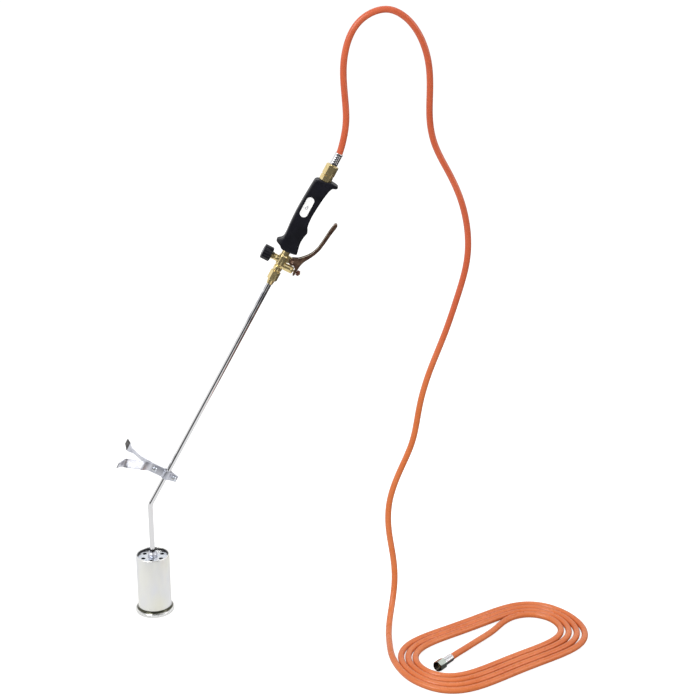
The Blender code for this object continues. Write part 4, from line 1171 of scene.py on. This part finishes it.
def grip_cuts(side, place_plate):
    """What is cut from one half: the tube's and nuts' room, the screws' holes and the plate's recess."""
    cuts = [rod_mesh(0.0076, 0.57, 0.595), rod_mesh(0.0068, 0.72, 0.76),
            rod_mesh(0.0056, 0.59, 0.73), rod_mesh(0.0122, INLET_Z - GAP, 0.76)]
    for x, z in GRIP_SCREWS:
        spot = at(x, 0, z) @ FACING_BACK
        cuts.append(moved(rod_mesh(0.0018, -0.0114, 0.02, 32), spot))
        if side > 0:
            cuts.append(moved(rod_mesh(0.0036, 0.0108, 0.02, 40), spot))
    if side < 0:
        recess = curve_solid([stadium(0.0412, 0.0157)], 0.005, 0.0002, 1)
        cuts.append(moved(recess, place_plate @ at(0, -GRIP_HALF + 0.0005 - 0.005, 0)))
    return cuts


def build_grip():
    place_plate = at(PLATE_CENTRE[0], 0, PLATE_CENTRE[1])
    whole = curve_solid([grip_outline()], GRIP_HALF, 0.0031, 6)
    section = [(GRIP_OVAL[0] * x, GRIP_OVAL[1] * y) for x, y in circle(1, 96)]
    whole = combined(whole, [swept([(0, 0, 0.56), (0, 0, 0.76)], section)], "INTERSECT")
    for piece, node, side in (("grip_front", "grip_front_shell", -1), ("grip_rear", "grip_rear_shell", 1)):
        low, high = sorted((side * GAP / 2, side * 0.03))
        half = combined(whole.copy(), [box_mesh((-0.05, low, 0.56), (0.05, high, 0.76))], "INTERSECT")
        shell = melted(combined(half, grip_cuts(side, place_plate)), 0.0008, 6)
        add_piece(piece, shell, black_plastic, "torch", LANCE, [node], 60)
    head = softened([(0, 0.0124), (0.0026, 0.0124), (0.0032, 0.0119), (0.0032, 0.0111), (0.0015, 0.0111),
                     (0.0015, -0.0105), (0, -0.0112)], 0.0003, 3)
    for number, (x, z) in enumerate(GRIP_SCREWS, 1):
        mesh = combined(revolved(head, 40), cross_slot(0.0003, 0.0018, 0.0018, 0.0115, 0.013))
        spot = LANCE @ at(x, 0, z) @ FACING_BACK
        add_piece(f"shell_screw_{number}", mesh, zinc, "torch", spot, [f"grip_screw_{number}"])
    build_name_plate(LANCE @ place_plate)


def build_name_plate(place):
    """A blank plate with a raised rim and a plain flame outline."""
    base = curve_solid([stadium(0.04, 0.0145)], 0.00035, 0.0001, 2)
    sunk = curve_solid([stadium(0.0384, 0.0129)], 0.0004, 0.0001, 1)
    base = combined(base, [moved(sunk, at(0, -0.0006, 0))])
    add_piece("badge", base, white_plate, "torch", place @ at(0, -GRIP_HALF - 0.00015, 0), ["name_plate"])
    flame = [(0, 0.0052), (0.0012, 0.0026), (0.0026, 0.0004), (0.0028, -0.0022), (0.0014, -0.0044),
             (-0.0014, -0.0044), (-0.0028, -0.0022), (-0.0022, 0), (-0.0012, 0.0004), (-0.0004, 0.0026)]
    inner = [(0.0002, 0.0006), (0.0013, -0.0016), (0.0008, -0.0033), (-0.0008, -0.0033), (-0.0012, -0.0018)]
    mark = curve_solid([softened(flame, 0.0012, 4, True), softened(inner, 0.0006, 4, True)],
                       0.00012, 0.00003, 1)
    add_piece("flame_mark", mark, grey_print, "torch", place @ at(0, -GRIP_HALF - 0.00025, 0))


# Inlet and fittings

def build_inlet():
    body = nut_mesh(INLET_FLATS, INLET_Z, INLET_NUT_Z[0] - GAP, 0.003, 96)
    spigot = rod_mesh(0.0065, 0.728, 0.737, 56, 0.0004)
    thread = [(0, 0.74)] + [(0.0073, z) for z in np.linspace(0.74, 0.755, 70)] + [(0, 0.755)]
    screwed = revolved(thread[::-1], 56, thread_rule(UNION_PITCH, 0.0006, 0.741, 0.7548))
    body = combined(body, [spigot, screwed], "UNION")
    cuts = [rod_mesh(0.003, 0.72, 0.77), rod_mesh(0.0053, 0.72, 0.734)]
    add_piece("inlet", combined(body, cuts), brass, "torch", LANCE, ["inlet_nipple"])
    low, high = INLET_NUT_Z
    build_fitting("inlet", "hose", LANCE @ at(0, 0, low), INLET_NUT_FLATS, high - low, 0.0018, brass, "torch")
    return build_fitting("outlet", "end", END_FITTING, END_NUT_FLATS, END_NUT_LENGTH, 0.006, end_nut_steel,
                         "end_nut")


def build_fitting(name, node, place, flats, length, nose, nut_maker, nut_body):
    """Union nut, tail nipple and crimped ferrule along Z, from the nut's open face."""
    depth = length - 0.0045
    end = bar_end(flats, 0.975)
    outer = end + [(r, length - z) for r, z in end[::-1]]
    inner = [(0.0056, length), (0.005, length - 0.0006), (0.005, depth), (0.0077, depth)]
    inner += ladder(0.0077, 0.0006, depth - 0.0003, UNION_PITCH) + [(0.0083, 0.0)]
    wind = thread_rule(UNION_PITCH, 0.0006, 0.0012, depth - 0.0006)

    def shape(r, z, angle):
        if r < 0.00771:
            return wind(r, z, angle) if r > 0.00765 else (r, z)
        return min(r, hexagon(flats, angle)), z

    nut = revolved((outer + inner)[::-1], 96, shape)
    nut_piece = add_piece(name + "_nut", nut, nut_maker, nut_body, place, [node + "_union_nut"])
    seat = length - 0.0048
    ferrule = length + 0.0006
    hose = HOSE_START_Z - INLET_NUT_Z[1] + length
    tail = [(0.0025, hose - GAP), (0.0045, hose - GAP), (0.0045, seat), (0.0072, seat),
            (0.0072, seat - 0.0014), (0.0058, seat - 0.0018), (0.0058 - nose / 4, seat - nose),
            (0.0025, seat - nose)]
    tail_piece = add_turned(name + "_tail", tail, (0.0003, 3), 64, brass, place, node + "_tail_nipple")
    top = ferrule + FERRULE_LENGTH
    crimps = []
    for middle in (top - 0.005, top - 0.0092, top - 0.0134, top - 0.0176):
        crimps += [(0.0074, middle + 0.0013), (0.00705, middle + 0.0007), (0.00705, middle - 0.0007),
                   (0.0074, middle - 0.0013)]
    sleeve = [(0.0063, top), (0.0068, top), (0.0074, top - 0.0007)] + crimps
    sleeve += [(0.0074, ferrule + 0.0008), (0.0068, ferrule), (0.0048, ferrule), (0.0048, ferrule + 0.002),
               (0.0063, ferrule + 0.002)]
    ferrule_piece = add_turned(name + "_ferrule", sleeve, (0.0003, 3), 72, chrome, place, node + "_ferrule")
    return [nut_piece, tail_piece, ferrule_piece]


# Hose

def smooth_curve(knots, steps):
    """Points on the natural cubic spline through the knots, steps to a span."""
    knots = np.array(knots, dtype=float)
    count = len(knots)
    span = np.sqrt(np.linalg.norm(np.diff(knots, axis=0), axis=1))
    system = np.eye(count)
    right = np.zeros((count, 3))
    for i in range(1, count - 1):
        system[i, i - 1:i + 2] = span[i - 1], 2 * (span[i - 1] + span[i]), span[i]
        right[i] = 6 * ((knots[i + 1] - knots[i]) / span[i] - (knots[i] - knots[i - 1]) / span[i - 1])
    curvature = np.linalg.solve(system, right)
    found = []
    for i in range(count - 1):
        for t in np.arange(steps) / steps:
            a, b, h = 1 - t, t, span[i]
            curved = (a ** 3 - a) * curvature[i] + (b ** 3 - b) * curvature[i + 1]
            found.append(a * knots[i] + b * knots[i + 1] + h * h / 6 * curved)
    found.append(knots[-1])
    return np.array(found)


def evenly(line, spacing):
    run = np.concatenate([[0], np.cumsum(np.linalg.norm(np.diff(line, axis=0), axis=1))])
    stops = np.linspace(0, run[-1], round(run[-1] / spacing) + 1)
    return np.stack([np.interp(stops, run, line[:, k]) for k in range(3)], axis=1)


def coil_point(turn):
    """A point of the coil's centre line, counted in turns from where the hose lands."""
    angle = COIL_START + 2 * pi * turn
    along = (COIL_HALF_LENGTH - COIL_END_PITCH * turn) * cos(angle)
    width = (COIL_HALF_WIDTH - COIL_SIDE_PITCH * turn) * (1 + COIL_WAIST * cos(angle) ** 2)
    across = width * sin(angle) + COIL_DRIFT * turn
    return (COIL_CENTRE[0] + along * cos(COIL_HEADING) - across * sin(COIL_HEADING),
            COIL_CENTRE[1] + along * sin(COIL_HEADING) + across * cos(COIL_HEADING), HOSE_RADIUS)


def build_hose():
    in_ferrule = (0, IN_FERRULE / 2, IN_FERRULE)
    start = [tuple(LANCE @ Vector((0, 0, HOSE_START_Z + run))) for run in in_ferrule]
    coil = [coil_point(i / COIL_STEPS) for i in range(int(COIL_TURNS * COIL_STEPS) + 1)]
    finish = [tuple(HOSE_END + END_AXIS * run) for run in in_ferrule]
    line = smooth_curve(start + HOSE_DROP + coil + HOSE_TAIL + finish, 12)
    path = evenly(line, 0.0065)
    mesh = swept(path, circle(HOSE_RADIUS, 24), uv=True)
    solids = ["hose_drop", "hose_coil", "hose_tail"]
    hose = add_piece("hose", mesh, hose_rubber, "torch", Matrix.Identity(4), solids, 60)


def dress_hidden_nodes():
    """CAD nodes that stay: inner pieces, each with a finished material."""
    keep = {
        "lance_olive": brass, "needle_spindle": brass, "handle_tube": brass, "return_spring": spring_steel,
        "spindle_packing": black_rubber, "seat_washer": black_rubber,
    }
    for node, maker in keep.items():
        mesh = NODES[node].data
        mesh.materials.clear()
        mesh.materials.append(material(maker))


bpy.context.scene.view_settings.view_transform = "Standard"
make_camera()
make_world()
make_floor()
make_light("key", (-1.7, -1.8, 2.5), (0.1, 0, 0.5), (1.6, 1.6), 52)
make_light("top", (0.4, 0.6, 3.2), (0.2, 0, 0.3), (2.6, 2.0), 22)
make_light("front", (0.2, -3.0, 1.3), (0.25, 0, 0.5), (1.0, 1.0), 22, False)
make_light("side", (2.8, -0.6, 1.6), (0.2, 0, 0.5), (1.2, 2.2), 14)
build_burner()
build_lance()
build_stand()
build_valve_body()
build_knob()
build_plunger()
build_lever()
build_grip()
end_fittings = build_inlet()
build_hose()
dress_hidden_nodes()
